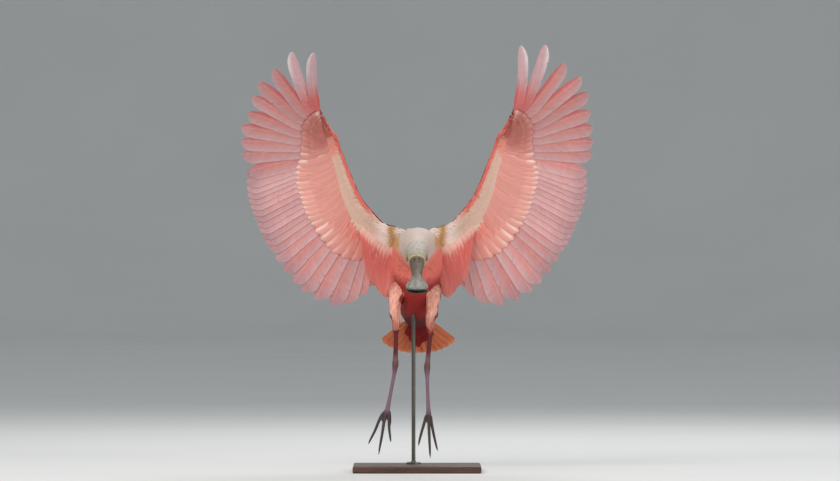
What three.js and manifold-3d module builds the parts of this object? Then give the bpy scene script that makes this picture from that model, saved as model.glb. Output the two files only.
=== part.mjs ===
// A roseate spoonbill braking to land, wings raised and swung forward, held on a plain display stand.
// Millimetres, +Z up. The bird faces -Y, so its left side is at +X. The origin is the middle of the stand
// base's underside.
import * as THREE from "three";
import { mergeVertices } from "three/addons/utils/BufferGeometryUtils.js";
import Module from "manifold-3d";

const wasm = await Module();
wasm.setup();

// Driving sizes
const GAP = 0.35; // clearance that touching pieces keep
const TOE_RISE = 30; // lowest toe tip above the floor
const STEP = 2.2727; // one step of the wings' layout, 1/440 m
const STEPS_DOWN = 458.2; // the layout counts its heights down; this many steps down is the lowest toe tip
const TRUNK_SIDES = 18;
const NECK_SIDES = 14;
const EYE = { radius: 5.4, x: 19.2, y: -232, z: 484.5, lid: 1.3 };
const BILL = { length: 160, open: 1.1, nostril: 13 };
const TAIL = { length: 109, down: 56, spread: 47, width: 26, pairs: 6, layer: 1.7 };
const STAND = { width: 290, depth: 270, thick: 15, bevel: 2.5, rod: 4.5, x: -8, y: 44, flange: 17 };

const FINISH = {
  pink: { color: 0xe08a86, roughness: 0.75, metalness: 0 },
  white: { color: 0xe2d3c8, roughness: 0.8, metalness: 0 },
  tawny: { color: 0xd98a52, roughness: 0.75, metalness: 0 },
  skin: { color: 0xb9b49c, roughness: 0.6, metalness: 0 },
  horn: { color: 0x9a9f97, roughness: 0.5, metalness: 0 },
  eye: { color: 0x8c1a12, roughness: 0.1, metalness: 0 },
  leg: { color: 0x8a3a3c, roughness: 0.6, metalness: 0 },
  foot: { color: 0x4d3f3d, roughness: 0.65, metalness: 0 },
  steel: { color: 0x4a4640, roughness: 0.35, metalness: 0.9 },
  wood: { color: 0x3b2a20, roughness: 0.5, metalness: 0 },
};

const part = new THREE.Group();
const bird = new THREE.Group();
const stand = new THREE.Group();
part.add(bird, stand);

const V = (x, y, z) => new THREE.Vector3(x, y, z);
const rad = THREE.MathUtils.degToRad;
const mix = THREE.MathUtils.lerp;
const smooth = THREE.MathUtils.smoothstep;

// Solids

// A closed triangle mesh as a solid, turned right side out.
function solidFrom(geometry) {
  const bare = new THREE.BufferGeometry();
  bare.setAttribute("position", geometry.getAttribute("position"));
  if (geometry.index) bare.setIndex(geometry.index);
  const merged = mergeVertices(bare, 1e-4);
  const p = merged.attributes.position.array;
  const t = new Uint32Array(merged.index.array);
  let volume = 0;
  for (let i = 0; i < t.length; i += 3) {
    const [a, b, c] = [t[i] * 3, t[i + 1] * 3, t[i + 2] * 3];
    volume += p[a] * (p[b + 1] * p[c + 2] - p[b + 2] * p[c + 1]);
    volume += p[a + 1] * (p[b + 2] * p[c] - p[b] * p[c + 2]);
    volume += p[a + 2] * (p[b] * p[c + 1] - p[b + 1] * p[c]);
  }
  if (volume < 0) for (let i = 0; i < t.length; i += 3) [t[i + 1], t[i + 2]] = [t[i + 2], t[i + 1]];
  return new wasm.Manifold(new wasm.Mesh({ numProp: 3, vertProperties: p, triVerts: t }));
}

function joined(solids) {
  return solids.reduce((all, next) => all.add(next));
}

function addNode(group, name, solid, finish) {
  const body = solid.decompose().sort((a, b) => b.volume() - a.volume())[0];
  const mesh = body.getMesh();
  const geometry = new THREE.BufferGeometry();
  geometry.setAttribute("position", new THREE.BufferAttribute(new Float32Array(mesh.vertProperties), 3));
  geometry.setIndex(new THREE.BufferAttribute(new Uint32Array(mesh.triVerts), 1));
  geometry.computeVertexNormals();
  const node = new THREE.Mesh(geometry, new THREE.MeshStandardMaterial(finish));
  node.name = name;
  group.add(node);
}

function geometryOf(points, faces) {
  const geometry = new THREE.BufferGeometry().setFromPoints(points);
  geometry.setIndex(faces);
  return geometry;
}

// A closed body through rings of points, each ring with as many points, with a fan over each end.
function throughRings(rings) {
  const points = rings.flat();
  const faces = [];
  const n = rings[0].length;
  for (let i = 0; i + 1 < rings.length; i++)
    for (let j = 0; j < n; j++) {
      const [a, b] = [i * n + j, i * n + ((j + 1) % n)];
      faces.push(a, b, b + n, a, b + n, a + n);
    }
  const middle = (ring) => ring.reduce((sum, p) => sum.add(p), V(0, 0, 0)).divideScalar(n);
  const [first, last] = [points.push(middle(rings[0])) - 1, points.push(middle(rings.at(-1))) - 1];
  const end = (rings.length - 1) * n;
  for (let j = 0; j < n; j++) {
    const k = (j + 1) % n;
    faces.push(first, k, j, last, end + j, end + k);
  }
  return geometryOf(points, faces);
}

// A thin closed sheet over rows of points, each {point, up, half}: half its thickness lies to either side.
function sheet(rows) {
  const points = [];
  const faces = [];
  const n = rows[0].length;
  for (const sign of [1, -1])
    for (const row of rows)
      for (const { point, up, half } of row) points.push(point.clone().addScaledVector(up, sign * half));
  const under = rows.length * n;
  for (let i = 0; i + 1 < rows.length; i++)
    for (let j = 0; j + 1 < n; j++) {
      const [a, b, c, d] = [i * n + j, i * n + j + 1, (i + 1) * n + j + 1, (i + 1) * n + j];
      faces.push(a, b, c, a, c, d);
      faces.push(a + under, c + under, b + under, a + under, d + under, c + under);
    }
  const rim = [];
  for (let j = 0; j < n; j++) rim.push(j);
  for (let i = 1; i < rows.length; i++) rim.push(i * n + n - 1);
  for (let j = n - 2; j >= 0; j--) rim.push((rows.length - 1) * n + j);
  for (let i = rows.length - 2; i > 0; i--) rim.push(i * n);
  rim.forEach((a, k) => {
    const b = rim[(k + 1) % rim.length];
    faces.push(a, a + under, b + under, a, b + under, b);
  });
  return solidFrom(geometryOf(points, faces));
}

// Half of space beyond a point along a direction, as a large box to cut with.
function beyond(point, direction) {
  const size = 1600;
  const box = new THREE.BoxGeometry(size, size, size);
  box.translate(0, 0, size / 2);
  box.applyQuaternion(new THREE.Quaternion().setFromUnitVectors(V(0, 0, 1), direction.clone().normalize()));
  box.translate(point.x, point.y, point.z);
  return solidFrom(box);
}

// A curve through the values of rows, read at any place: a Hermite curve whose slopes come from the
// neighbouring rows, so the rows need not be evenly spaced. Each row is [place, value, value...].
function along(rows, place) {
  const last = rows.length - 1;
  let i = 0;
  while (i < last - 1 && place > rows[i + 1][0]) i++;
  const [a, b] = [rows[i], rows[i + 1]];
  const [before, after] = [rows[Math.max(i - 1, 0)], rows[Math.min(i + 2, last)]];
  const span = b[0] - a[0];
  const u = (place - a[0]) / span;
  const [u2, u3] = [u * u, u * u * u];
  return a.slice(1).map((value, k) => {
    const slopeA = ((b[k + 1] - before[k + 1]) / (b[0] - before[0])) * span;
    const slopeB = ((after[k + 1] - value) / (after[0] - a[0])) * span;
    const ends = value * (2 * u3 - 3 * u2 + 1) + b[k + 1] * (3 * u2 - 2 * u3);
    return ends + slopeA * (u3 - 2 * u2 + u) + slopeB * (u3 - u2);
  });
}

// Evenly spaced numbers from one to another, both included.
function evenly(from, to, count) {
  return Array.from({ length: count }, (_, i) => mix(from, to, i / (count - 1)));
}

// A limb: round rings about a path of [x, y, z, radius].
function limb(path, { sides = 8, steps = 2 } = {}) {
  const rows = path.map((row, i) => [i, ...row]);
  const end = path.length - 1;
  const rings = evenly(0, end, end * steps + 1).map((at) => {
    const [x, y, z, radius] = along(rows, at);
    const back = V(...along(rows, Math.max(at - 0.1, 0)));
    const way = V(...along(rows, Math.min(at + 0.1, end))).sub(back).normalize();
    const across = V(0, 1, 0.01).cross(way).normalize();
    const front = way.clone().cross(across);
    return Array.from({ length: sides }, (_, j) => {
      const angle = ((j + 0.5) / sides) * 2 * Math.PI;
      const point = V(x, y, z).addScaledVector(across, radius * Math.cos(angle));
      return point.addScaledVector(front, radius * Math.sin(angle));
    });
  });
  return solidFrom(throughRings(rings));
}

// A body of oval rings about a middle line in the x = 0 plane. Each row: y, z of the middle line, half
// width, height above it and depth below it.
function ovals(rows, count, sides, grow = 0) {
  const table = rows.map((row, i) => [i, ...row]);
  const end = rows.length - 1;
  const rings = evenly(0, end, count + 1).map((at) => {
    const [y, z, wide, above, below] = along(table, at);
    const [a, b] = [along(table, Math.max(at - 0.05, 0)), along(table, Math.min(at + 0.05, end))];
    const way = V(0, b[0] - a[0], b[1] - a[1]).normalize();
    const up = V(0, -way.z, way.y).multiplyScalar(Math.sign(way.y));
    return Array.from({ length: sides }, (_, j) => {
      const angle = (j / sides) * 2 * Math.PI;
      const height = ((Math.sin(angle) > 0 ? above : below) + grow) * Math.sin(angle);
      return V((wide + grow) * Math.cos(angle), y, z).addScaledVector(up, height);
    });
  });
  return solidFrom(throughRings(rings));
}

// Trunk, neck and head

const TRUNK = [
  [-58, 512, 45, 40, 44],
  [-30, 508, 54, 46, 50],
  [0, 492, 58, 54, 56],
  [30, 460, 59, 56, 60],
  [58, 422, 57, 52, 62],
  [84, 384, 48, 42, 52],
  [104, 354, 34, 28, 34],
  [119, 334, 19, 13, 17],
];
const NECK = [
  [-57, 512, 46, 40, 44],
  [-80, 512, 37, 34, 37],
  [-110, 510, 30, 29, 30],
  [-150, 506, 27, 26, 26],
  [-186, 502, 27, 25, 25],
];
const HEAD = [
  [-185, 502, 27, 25, 25],
  [-200, 500, 26, 25, 25],
  [-218, 494, 24, 24, 23],
  [-236, 487, 21.5, 20, 19],
  [-250, 481, 18.5, 14, 15],
  [-256, 478.5, 17, 11, 12],
];

const trunkClear = ovals(TRUNK, 14, TRUNK_SIDES, GAP);
const neckCut = { at: V(0, -58, 0), way: V(0, -1, 0) };
const headCut = { at: V(0, -185.5, 502), way: V(0, -1, -0.12).normalize() };
const billCut = { at: V(0, -254, 479), way: V(0, -0.906, -0.423) }; // the bill points 25 degrees down

const past = (cut, shift = 0) => beyond(cut.at.clone().addScaledVector(cut.way, shift), cut.way);

function eyeBall(side, grow) {
  const ball = new THREE.SphereGeometry(EYE.radius + grow, 11, 7);
  ball.translate(side * EYE.x, EYE.y, EYE.z);
  return solidFrom(ball);
}

function eyelids(side) {
  const ring = new THREE.TorusGeometry(EYE.radius, EYE.lid, 5, 11);
  ring.rotateY((side * Math.PI) / 2);
  ring.rotateZ(side * -0.12);
  ring.translate(side * (EYE.x + 1.7), EYE.y, EYE.z);
  return solidFrom(ring);
}

// A shape set on the bill: its X runs across, its Y up out of the bill and its Z along it.
function onBill(geometry, distance) {
  const up = V(0, billCut.way.z, -billCut.way.y);
  const place = billCut.at.clone().addScaledVector(billCut.way, distance);
  geometry.applyMatrix4(new THREE.Matrix4().makeBasis(V(1, 0, 0), up, billCut.way).setPosition(place));
  return solidFrom(geometry);
}

function addTrunkAndHead() {
  addNode(bird, "torso", ovals(TRUNK, 14, TRUNK_SIDES).subtract(past(neckCut)), FINISH.pink);
  const neck = ovals(NECK, 8, NECK_SIDES).intersect(past(neckCut, GAP));
  addNode(bird, "neck", neck.subtract(past(headCut)), FINISH.white);
  let head = ovals(HEAD, 10, NECK_SIDES).intersect(past(headCut, GAP)).subtract(past(billCut));
  for (const side of [-1, 1]) {
    head = head.add(eyelids(side)).subtract(eyeBall(side, GAP));
    addNode(bird, side > 0 ? "eye_left" : "eye_right", eyeBall(side, 0), FINISH.eye);
  }
  // The corners of the mouth run back from the bill to below the eyes.
  const gape = onBill(new THREE.BoxGeometry(80, 0.8, 16), -7);
  addNode(bird, "head", head.subtract(gape), FINISH.skin);
}

// Bill: two mandibles, each a row of flat rings that widen to the spoon

// Each row: place along the bill, half width, thickness of the upper mandible and of the lower one.
const BILL_SHAPE = [
  [0, 17, 13, 11],
  [0.15, 15, 10.5, 9],
  [0.35, 11.8, 8, 6.5],
  [0.5, 10.2, 6, 4.8],
  [0.62, 14, 4.6, 3.8],
  [0.75, 21, 3.8, 3.2],
  [0.86, 25, 3.4, 3],
  [0.94, 22.5, 3.2, 2.8],
  [0.985, 14, 3, 2.6],
  [1, 6, 2.4, 2.2],
];

function mandible(sign) {
  const angles = evenly(0, Math.PI, 9);
  const rings = evenly(0, 1, 17).map((at) => {
    const [wide, top, low] = along(BILL_SHAPE, at);
    const thick = sign > 0 ? top : low;
    const z = at * BILL.length;
    const arch = angles.map((angle) => {
      return V(wide * Math.cos(angle), GAP / 2 + thick * (0.12 + 0.88 * Math.sin(angle)), z);
    });
    return [...arch, V(-wide * 0.8, GAP / 2, z), V(wide * 0.8, GAP / 2, z)];
  });
  const geometry = throughRings(rings);
  geometry.scale(1, sign, 1);
  geometry.rotateX(-sign * rad(BILL.open));
  return onBill(geometry, GAP).intersect(past(billCut, GAP));
}

function addBill() {
  let upper = mandible(1);
  for (const side of [-1, 1]) {
    const slot = new THREE.BoxGeometry(1.3, 8, BILL.nostril);
    slot.rotateX(0.12);
    slot.translate(side * 4.6, 14, 0);
    upper = upper.subtract(onBill(slot, 14));
  }
  addNode(bird, "bill_upper", upper, FINISH.horn);
  addNode(bird, "bill_lower", mandible(-1), FINISH.horn);
}

// Wings. One wing is laid out by steps outward from the middle of the breast and down from the top, with
// its depth in millimetres; the other is its mirror image.

// Each row: station, leading edge (out, down, depth), trailing edge of the fleshy wing (out, down,
// depth), thickness. Station 0 is the shoulder, 3 the elbow, 6 the wrist and 9 the end of the hand.
const WING = [
  [-1, 8, 231, 12, 10, 262, 26, 30],
  [0, 22, 227, 4, 22, 262, 22, 34],
  [1, 34, 222.5, 0, 42, 252, 26, 30],
  [2, 46, 210.5, -2, 56, 240, 30, 26],
  [3, 56.5, 196.5, -2, 70, 230, 30, 22],
  [4, 64, 180, 0, 82, 205, 27, 19],
  [5, 70, 165, 3, 87, 180, 24, 17],
  [6, 76, 149, 6, 92, 160, 20, 15],
  [7, 80, 138, -3, 96, 146, 10, 13],
  [8, 87, 129.5, -19, 99, 134, -8, 10],
  [9, 92, 117, -48, 98, 119, -44, 6],
];
// Each row: station of a flight feather's root, its angle from straight up, its length in steps as seen
// from the front. The last ten rows are the primaries.
const FAN = [
  [0.9, 185.8, 60.8],
  [1.25, 179, 42],
  [1.6, 173, 60.4],
  [2, 168.7, 76.8],
  [2.4, 164.5, 89.9],
  [2.8, 155, 94.8],
  [3.2, 146, 96.4],
  [3.9, 127.4, 94.9],
  [4.8, 119.5, 96.4],
  [5.6, 114, 95.8],
  [6.05, 110.5, 92.9],
  [6.4, 105.7, 88.5],
  [6.65, 96.1, 89.6],
  [6.9, 89.5, 88.7],
  [7.15, 81.8, 87.4],
  [7.45, 73.3, 83.2],
  [7.75, 62.7, 83.2],
  [8.05, 53, 82],
  [8.3, 40, 76.9],
  [8.55, 22.9, 78.8],
  [8.8, 6.2, 69],
];
const PRIMARIES = FAN.slice(-10).map((row) => row[0]);
// Each row: station, a flight feather's width there in millimetres, how far it bows to the wing's upper
// side, as a share of its length, a covert's width, and how far a flight feather bows to its rear.
const VANES = [
  [0.9, 29, 0.02, 34, 0],
  [1.5, 38, 0.02, 40, 0],
  [2.8, 46, 0.02, 50, 0],
  [3.9, 34, 0.015, 40, 0],
  [5.6, 29, 0.01, 34, 0],
  [6.4, 38, 0, 38, 0],
  [7.45, 40, -0.015, 43, 0],
  [8.05, 35, -0.03, 41, 0.01],
  [8.55, 26, -0.035, 36, 0.035],
  [8.8, 24, -0.035, 30, 0.05],
];
const ARM_UP = V(0.1, 0.95, 0.28); // which way the arm wing's upper side looks
const HAND_UP = V(0.16, 0.708, 0.668); // and the hand wing's, which is swung forward
const HAND_TURN = 0.05; // the bird's left hand is turned this much more to the front, its right one less
const LAYER = 2; // how far neighbouring feathers lie over one another
const ROOT_CHORD = 0.48; // share of the fleshy wing's chord where the flight feathers are rooted
const QUILL = 3.4;

// Shares of a feather's width that its points stand at: most of it lies behind its middle line.
const BLADE = [0.36, -0.64];
const CURVED_BLADE = [0.36, -0.1, -0.64];
// Roots holds the stations of the flight feathers' roots, and coverts their count in each layer.
const WING_PARTS = [
  { name: "arm", from: -1, to: 3.1, rings: 9, roots: [0.9, 1.25, 1.6, 2, 2.4, 2.8], coverts: 3, across: BLADE },
  { name: "forearm", from: 3.1, to: 6.25, rings: 9, roots: evenly(3.25, 6.05, 13), coverts: 7, across: BLADE },
  { name: "hand", from: 6.25, to: 9, rings: 7, roots: PRIMARIES, coverts: 5, across: CURVED_BLADE },
];
// Outlines of a flight feather and a covert: share of the length, share of the full width, half thickness.
const FLIGHT = [
  [0, 0, 0.5],
  [0.26, 1, 0.42],
  [0.7, 1, 0.34],
  [0.94, 0.82, 0.28],
  [1, 0.36, 0.25],
];
const SHORT = [
  [0, 0.1, 0.45],
  [0.4, 1, 0.36],
  [0.85, 0.85, 0.3],
  [1, 0.3, 0.26],
];
// Coverts lie over the flight feathers' bases, from the flesh out, on the wing's upper side (1) or its
// under one (-1). Reach is their share of the flight feathers' length.
const COVERTS = [
  { upper: 1, chord: 0.6, lift: 4.8, reach: [[0.9, 0.46], [5.6, 0.46], [7, 0.38], [8.8, 0.36]] },
  { upper: -1, chord: 0.7, lift: 6.2, reach: [[0.9, 0.46], [5.6, 0.46], [7, 0.36], [8.8, 0.32]] },
];

function wingEdges(station) {
  const [leadOut, leadDown, leadY, trailOut, trailDown, trailY, thick] = along(WING, station);
  const place = (out, down, y) => V(out * STEP, y, TOE_RISE + (STEPS_DOWN - down) * STEP);
  return { lead: place(leadOut, leadDown, leadY), trail: place(trailOut, trailDown, trailY), thick };
}

// The way out of the wing's upper side at a station, square to its chord and span.
function wingUp(station) {
  const [a, b, here] = [wingEdges(station - 0.1), wingEdges(station + 0.1), wingEdges(station)];
  const span = b.lead.add(b.trail).sub(a.lead).sub(a.trail);
  return span.cross(here.trail.sub(here.lead)).normalize();
}

// A place on the fleshy wing: share of the chord from its leading edge, and side 1 for the upper surface,
// -1 for the under one or 0 for the middle. It bulges to the upper side, with a thin trailing edge.
function onWing(station, share, side, grow = 0) {
  const { lead, trail, thick } = wingEdges(station);
  const reach = (share - 0.28) / (share < 0.28 ? 0.3 : 0.78);
  const half = 0.5 * thick * Math.sqrt(Math.max(1 - reach * reach, 0.01));
  const bulge = 0.88 * thick * share * (1 - share);
  return lead.lerp(trail, share).addScaledVector(wingUp(station), bulge + side * (half + grow));
}

function wingRing(station, grow) {
  const { lead, trail } = wingEdges(station);
  const chord = trail.sub(lead).normalize().multiplyScalar(grow);
  const shares = [0.06, 0.2, 0.4, 0.65, 0.88];
  return [
    onWing(station, 0, 0).sub(chord),
    ...shares.map((share) => onWing(station, share, 1, grow)),
    onWing(station, 1, 0).add(chord),
    ...shares.toReversed().map((share) => onWing(station, share, -1, grow)),
  ];
}

// All that lies past the plane across the wing at a station, which is shifted towards the wing's tip.
function pastStation(station, shift) {
  const { lead, trail } = wingEdges(station);
  const way = trail.sub(lead).cross(wingUp(station)).normalize();
  const tipward = wingEdges(station + 0.1).lead.sub(wingEdges(station - 0.1).lead);
  if (way.dot(tipward) < 0) way.negate();
  return beyond(lead.addScaledVector(way, shift), way);
}

// The fleshy wing between two stations, parted there by planes and grown all over by a clearance.
function wingFlesh({ from, to, rings }, grow = 0) {
  const [inner, outer] = [from > 0 ? from - 0.3 : from, to < 9 ? to + 0.3 : to];
  let flesh = solidFrom(throughRings(evenly(inner, outer, rings).map((station) => wingRing(station, grow))));
  if (to < 9) flesh = flesh.subtract(pastStation(to, grow - GAP / 2));
  if (from > 0) flesh = flesh.intersect(pastStation(from, GAP / 2 - grow));
  return flesh;
}

// A feather's middle line: a way from its root to its tip, bowed by a share of its length to one side.
function middleLine(root, tip, side, bow) {
  const length = tip.distanceTo(root);
  const at = (mm) => {
    const share = mm / length;
    return root.clone().lerp(tip, share).addScaledVector(side, 4 * bow * share * (1 - share) * length);
  };
  return { at, length };
}

// The middle line of a flight feather rooted at a station, and the way out of the fan's upper side.
function flightLine(side, station) {
  const [angle, steps] = along(FAN, station);
  const hand = smooth(station, 7.1, 7.8);
  const up = ARM_UP.clone().lerp(HAND_UP, smooth(station, 4.8, 8.4));
  up.z *= 1 - 2 * side * HAND_TURN * hand;
  const way = V(Math.sin(rad(angle)), 0, Math.cos(rad(angle)));
  way.y = -up.dot(way) / up.y;
  up.normalize();
  const root = onWing(station, ROOT_CHORD, 0);
  const tip = root.clone().addScaledVector(way, steps * STEP * (1 + side * HAND_TURN * hand));
  const [, bow, , sweep] = along(VANES, station);
  const bend = up.clone().multiplyScalar(bow).addScaledVector(way.cross(up).normalize(), -sweep);
  return { ...middleLine(root, tip, bend, 1), up };
}

// A covert's middle line: from inside the flesh to a place clear of the flight feathers.
function covertLine(side, station, { upper, chord, lift, reach }) {
  const flight = flightLine(side, station);
  const share = along(reach, station)[0];
  const tip = flight.at(share * flight.length).addScaledVector(flight.up, upper * lift);
  return middleLine(onWing(station, chord, upper * 0.7), tip, flight.up, upper * 0.015);
}

// One vane, by an outline of [share of the length, share of the full width, half thickness] and by shares
// of the width across it. PlaceAt gives the place at a distance along the feather and one across it.
function vane({ outline, length, width, across }, placeAt) {
  const rows = outline.map(([share, full, half]) => {
    const wide = mix(QUILL, width, full);
    return across.map((part) => ({ ...placeAt(share * length, part * wide), half }));
  });
  return sheet(rows);
}

// A flat vane as wide to both sides of its middle line.
function flatVane(line, up, width, outline) {
  const lead = line.at(line.length).sub(line.at(0)).cross(up).normalize();
  return vane({ outline, length: line.length, width, across: [0.5, -0.5] }, (mm, aside) => {
    return { point: line.at(mm).addScaledVector(lead, aside), up };
  });
}

// The curved surface that a row of feathers lies in. LineAt gives the middle line at any station.
function surfaceOf(lineAt) {
  const place = (station, mm) => {
    const inside = THREE.MathUtils.clamp(station, FAN[0][0], FAN.at(-1)[0]);
    const near = inside + (inside < 4 ? 0.05 : -0.05);
    const point = lineAt(inside).at(mm);
    const drift = lineAt(near).at(mm).sub(point).divideScalar(near - inside);
    return point.addScaledVector(drift, station - inside);
  };
  return (station, mm) => {
    const across = place(station + 0.03, mm).sub(place(station - 0.03, mm)).divideScalar(0.06);
    const way = place(station, mm + 1).sub(place(station, mm - 1)).normalize();
    const up = across.clone().cross(way).normalize();
    return { point: place(station, mm), way, up, apart: across.dot(way.clone().cross(up)) };
  };
}

// A feather of a row: it follows the row's surface and rises a layer over its neighbour towards the wing's
// tip.
function feather(lineAt, { station, spacing, outline, width, across }) {
  const surface = surfaceOf(lineAt);
  return vane({ outline, length: lineAt(station).length, width, across }, (mm, aside) => {
    const middle = surface(station, mm);
    const lead = middle.way.clone().cross(middle.up);
    if (mm === 0) return { point: middle.point.addScaledVector(lead, aside), up: middle.up };
    let [there, far] = [station + aside / middle.apart, mm];
    for (let i = 0; i < 4; i++) {
      const offset = surface(there, far).point.sub(middle.point);
      there += (aside - offset.dot(lead)) / middle.apart;
      far -= offset.dot(middle.way);
    }
    const { point, up } = surface(there, far);
    return { point: point.addScaledVector(up, (LAYER * (there - station)) / spacing), up };
  });
}

// The alula: three short feathers along the hand's leading edge.
function alula() {
  const up = wingUp(7.6);
  const feathers = [0, 1, 2].map((k) => {
    const root = onWing(6.75, 0.14, 0.4);
    const tip = onWing(8.45 - 0.35 * k, 0.05, 1).addScaledVector(up, 2.2 + 2.2 * k);
    return flatVane(middleLine(root, tip, up, 0.03), up, 13, SHORT);
  });
  return joined(feathers);
}

function wingFeathers(side, { name, roots, coverts, across }) {
  const reach = roots.at(-1) - roots[0];
  const feathers = roots.map((station) => {
    const [width] = along(VANES, station);
    const spacing = reach / (roots.length - 1);
    return feather((at) => flightLine(side, at), { station, spacing, outline: FLIGHT, width, across });
  });
  const spacing = reach / coverts;
  for (const layer of COVERTS) {
    const lineAt = (station) => covertLine(side, station, layer);
    for (let i = 0; i < coverts; i++) {
      const station = roots[0] + spacing * (i + 0.5);
      const width = along(VANES, station)[2];
      feathers.push(feather(lineAt, { station, spacing, outline: SHORT, width, across }));
    }
  }
  if (name === "hand") feathers.push(alula());
  return joined(feathers);
}

function addWings() {
  const clearances = WING_PARTS.map((piece) => wingFlesh(piece, GAP));
  for (const side of [1, -1])
    WING_PARTS.forEach((piece, i) => {
      let wing = wingFlesh(piece).add(wingFeathers(side, piece));
      for (const k of [i - 1, i + 1]) if (clearances[k]) wing = wing.subtract(clearances[k]);
      if (i === 0) wing = wing.subtract(trunkClear);
      const label = `wing_${side > 0 ? "left" : "right"}_${piece.name}`;
      addNode(bird, label, side > 0 ? wing : wing.mirror([1, 0, 0]), FINISH.pink);
    });
}

// Tail: a broad fleshy stem with twelve feathers spread in a fan, and coverts over and under their bases

const TAIL_ROOT = V(3, 104, 354);
const TAIL_UP = V(0, Math.sin(rad(TAIL.down)), Math.cos(rad(TAIL.down)));
const TAIL_STEM = [
  [92, 372, 20, 12, 12],
  [108, 349, 30, 13, 14],
  [122, 328, 27, 8, 9],
  [133, 311, 16, 4, 5],
];

function tailFeather(turn, { lift, length, width }) {
  const flat = Math.cos(turn);
  const way = V(Math.sin(turn), flat * Math.cos(rad(TAIL.down)), -flat * Math.sin(rad(TAIL.down)));
  const root = TAIL_ROOT.clone().addScaledVector(TAIL_UP, lift);
  const tip = root.clone().addScaledVector(way, length);
  return flatVane(middleLine(root, tip, TAIL_UP, 0), TAIL_UP, width, FLIGHT);
}

function addTail() {
  const feathers = [];
  for (let k = 0; k < TAIL.pairs; k++)
    for (const side of [-1, 1]) {
      const turn = side * rad(TAIL.spread) * ((k + 0.5) / (TAIL.pairs - 0.5));
      const lift = TAIL.layer * (side > 0 && k === 0 ? 3 : 2 - k);
      feathers.push(tailFeather(turn, { lift, length: TAIL.length, width: TAIL.width }));
    }
  // The coverts above are half as long as the tail. Those below are long in the middle, to end in a point.
  for (const k of [-1, 0, 1]) {
    const out = Math.abs(k);
    feathers.push(tailFeather(k * 0.42, { lift: 10.5 - out - 0.8 * k, length: 64 - 9 * out, width: 34 }));
    feathers.push(tailFeather(k * 0.36, { lift: 0.8 * k + out - 12.5, length: 84 - 22 * out, width: 32 }));
  }
  const stem = ovals(TAIL_STEM, 6, 12);
  addNode(bird, "tail", joined([stem, ...feathers]).subtract(trunkClear), FINISH.tawny);
}

// Legs and feet. Each path runs from the flank down, as [x, y, z, radius].

const LEGS = {
  left: {
    thigh: [[26, 44, 446, 18], [34, 24, 414, 18.5], [35, 12, 384, 15.5], [32, 8, 352, 11.5], [31, 8, 322, 7]],
    shank: [[31, 8, 321.6, 5.6], [28, 7, 290, 5], [24.5, 6, 252, 5.6], [23, 6, 238, 7.2], [23, 7, 226, 6.4]],
    tarsus: [[23, 7, 225.6, 6], [23.4, 8, 210, 4.4], [24.5, 9, 170, 4], [26, 8, 140, 5], [26.5, 8, 130, 6]],
    toes: [
      [[24, 8, 134, 4.4], [17, 2, 112, 3.4], [10, -6, 88, 3], [5, -10, 68, 2.2], [3.5, -12, 59, 0.8]],
      [[26.5, 5, 134, 4.6], [27, -4, 108, 3.6], [28, -13, 78, 3.1], [29.4, -18, 46, 2.3], [30, -20, 31, 0.8]],
      [[29, 8, 134, 4.4], [33, 2, 110, 3.4], [38, -6, 84, 3], [44, -11, 58, 2.2], [47.5, -13, 46.5, 0.8]],
      [[27, 12, 134, 4.2], [28, 20, 118, 3.2], [28.5, 26, 102, 2.4], [28, 28, 92, 0.8]],
    ],
  },
  right: {
    thigh: [[-31, 44, 446, 18], [-43, 24, 414, 18.5], [-49, 12, 384, 15.5], [-48, 8, 352, 11.5], [-48, 8, 326, 7]],
    shank: [[-48, 8, 325.6, 5.6], [-48, 7, 294, 5], [-49, 6, 260, 5.6], [-49, 6, 247, 7.2], [-50, 7, 235, 6.4]],
    tarsus: [[-50, 7, 234.6, 6], [-52, 8, 220, 4.4], [-60, 9, 178, 4], [-66, 8, 147, 5], [-68, 8, 137, 6]],
    toes: [
      [[-71, 8, 141, 4.4], [-85, 2, 118, 3.4], [-95, -5, 94, 3], [-106, -10, 72, 2.2], [-110.5, -12, 62, 0.8]],
      [[-69, 5, 141, 4.6], [-75, -4, 112, 3.6], [-79, -13, 86, 3.1], [-84.5, -18, 55, 2.3], [-87, -20, 38.5, 0.8]],
      [[-66, 8, 141, 4.4], [-64, 2, 118, 3.4], [-63, -5, 96, 3], [-60.5, -10, 76, 2.2], [-59.5, -12, 67, 0.8]],
      [[-65, 12, 141, 4.2], [-62, 20, 126, 3.2], [-61, 26, 112, 2.4], [-61, 28, 101, 0.8]],
    ],
  },
};

// The web between the bases of two front toes, with a hollow edge.
function web(...toes) {
  const [a, b] = toes.map((toe) => toe.map((row, i) => [i, ...row]));
  const up = V(0, 1, 0.35).normalize();
  const rows = [0.1, 0.7, 1.25].map((at) => {
    const [one, two] = [V(...along(a, at)), V(...along(b, at))];
    const middle = one.clone().lerp(two, 0.5).add(V(0, 0, at > 1 ? 9 : 0));
    return [one, middle, two].map((point) => ({ point, up, half: 0.6 }));
  });
  return sheet(rows);
}

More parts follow.
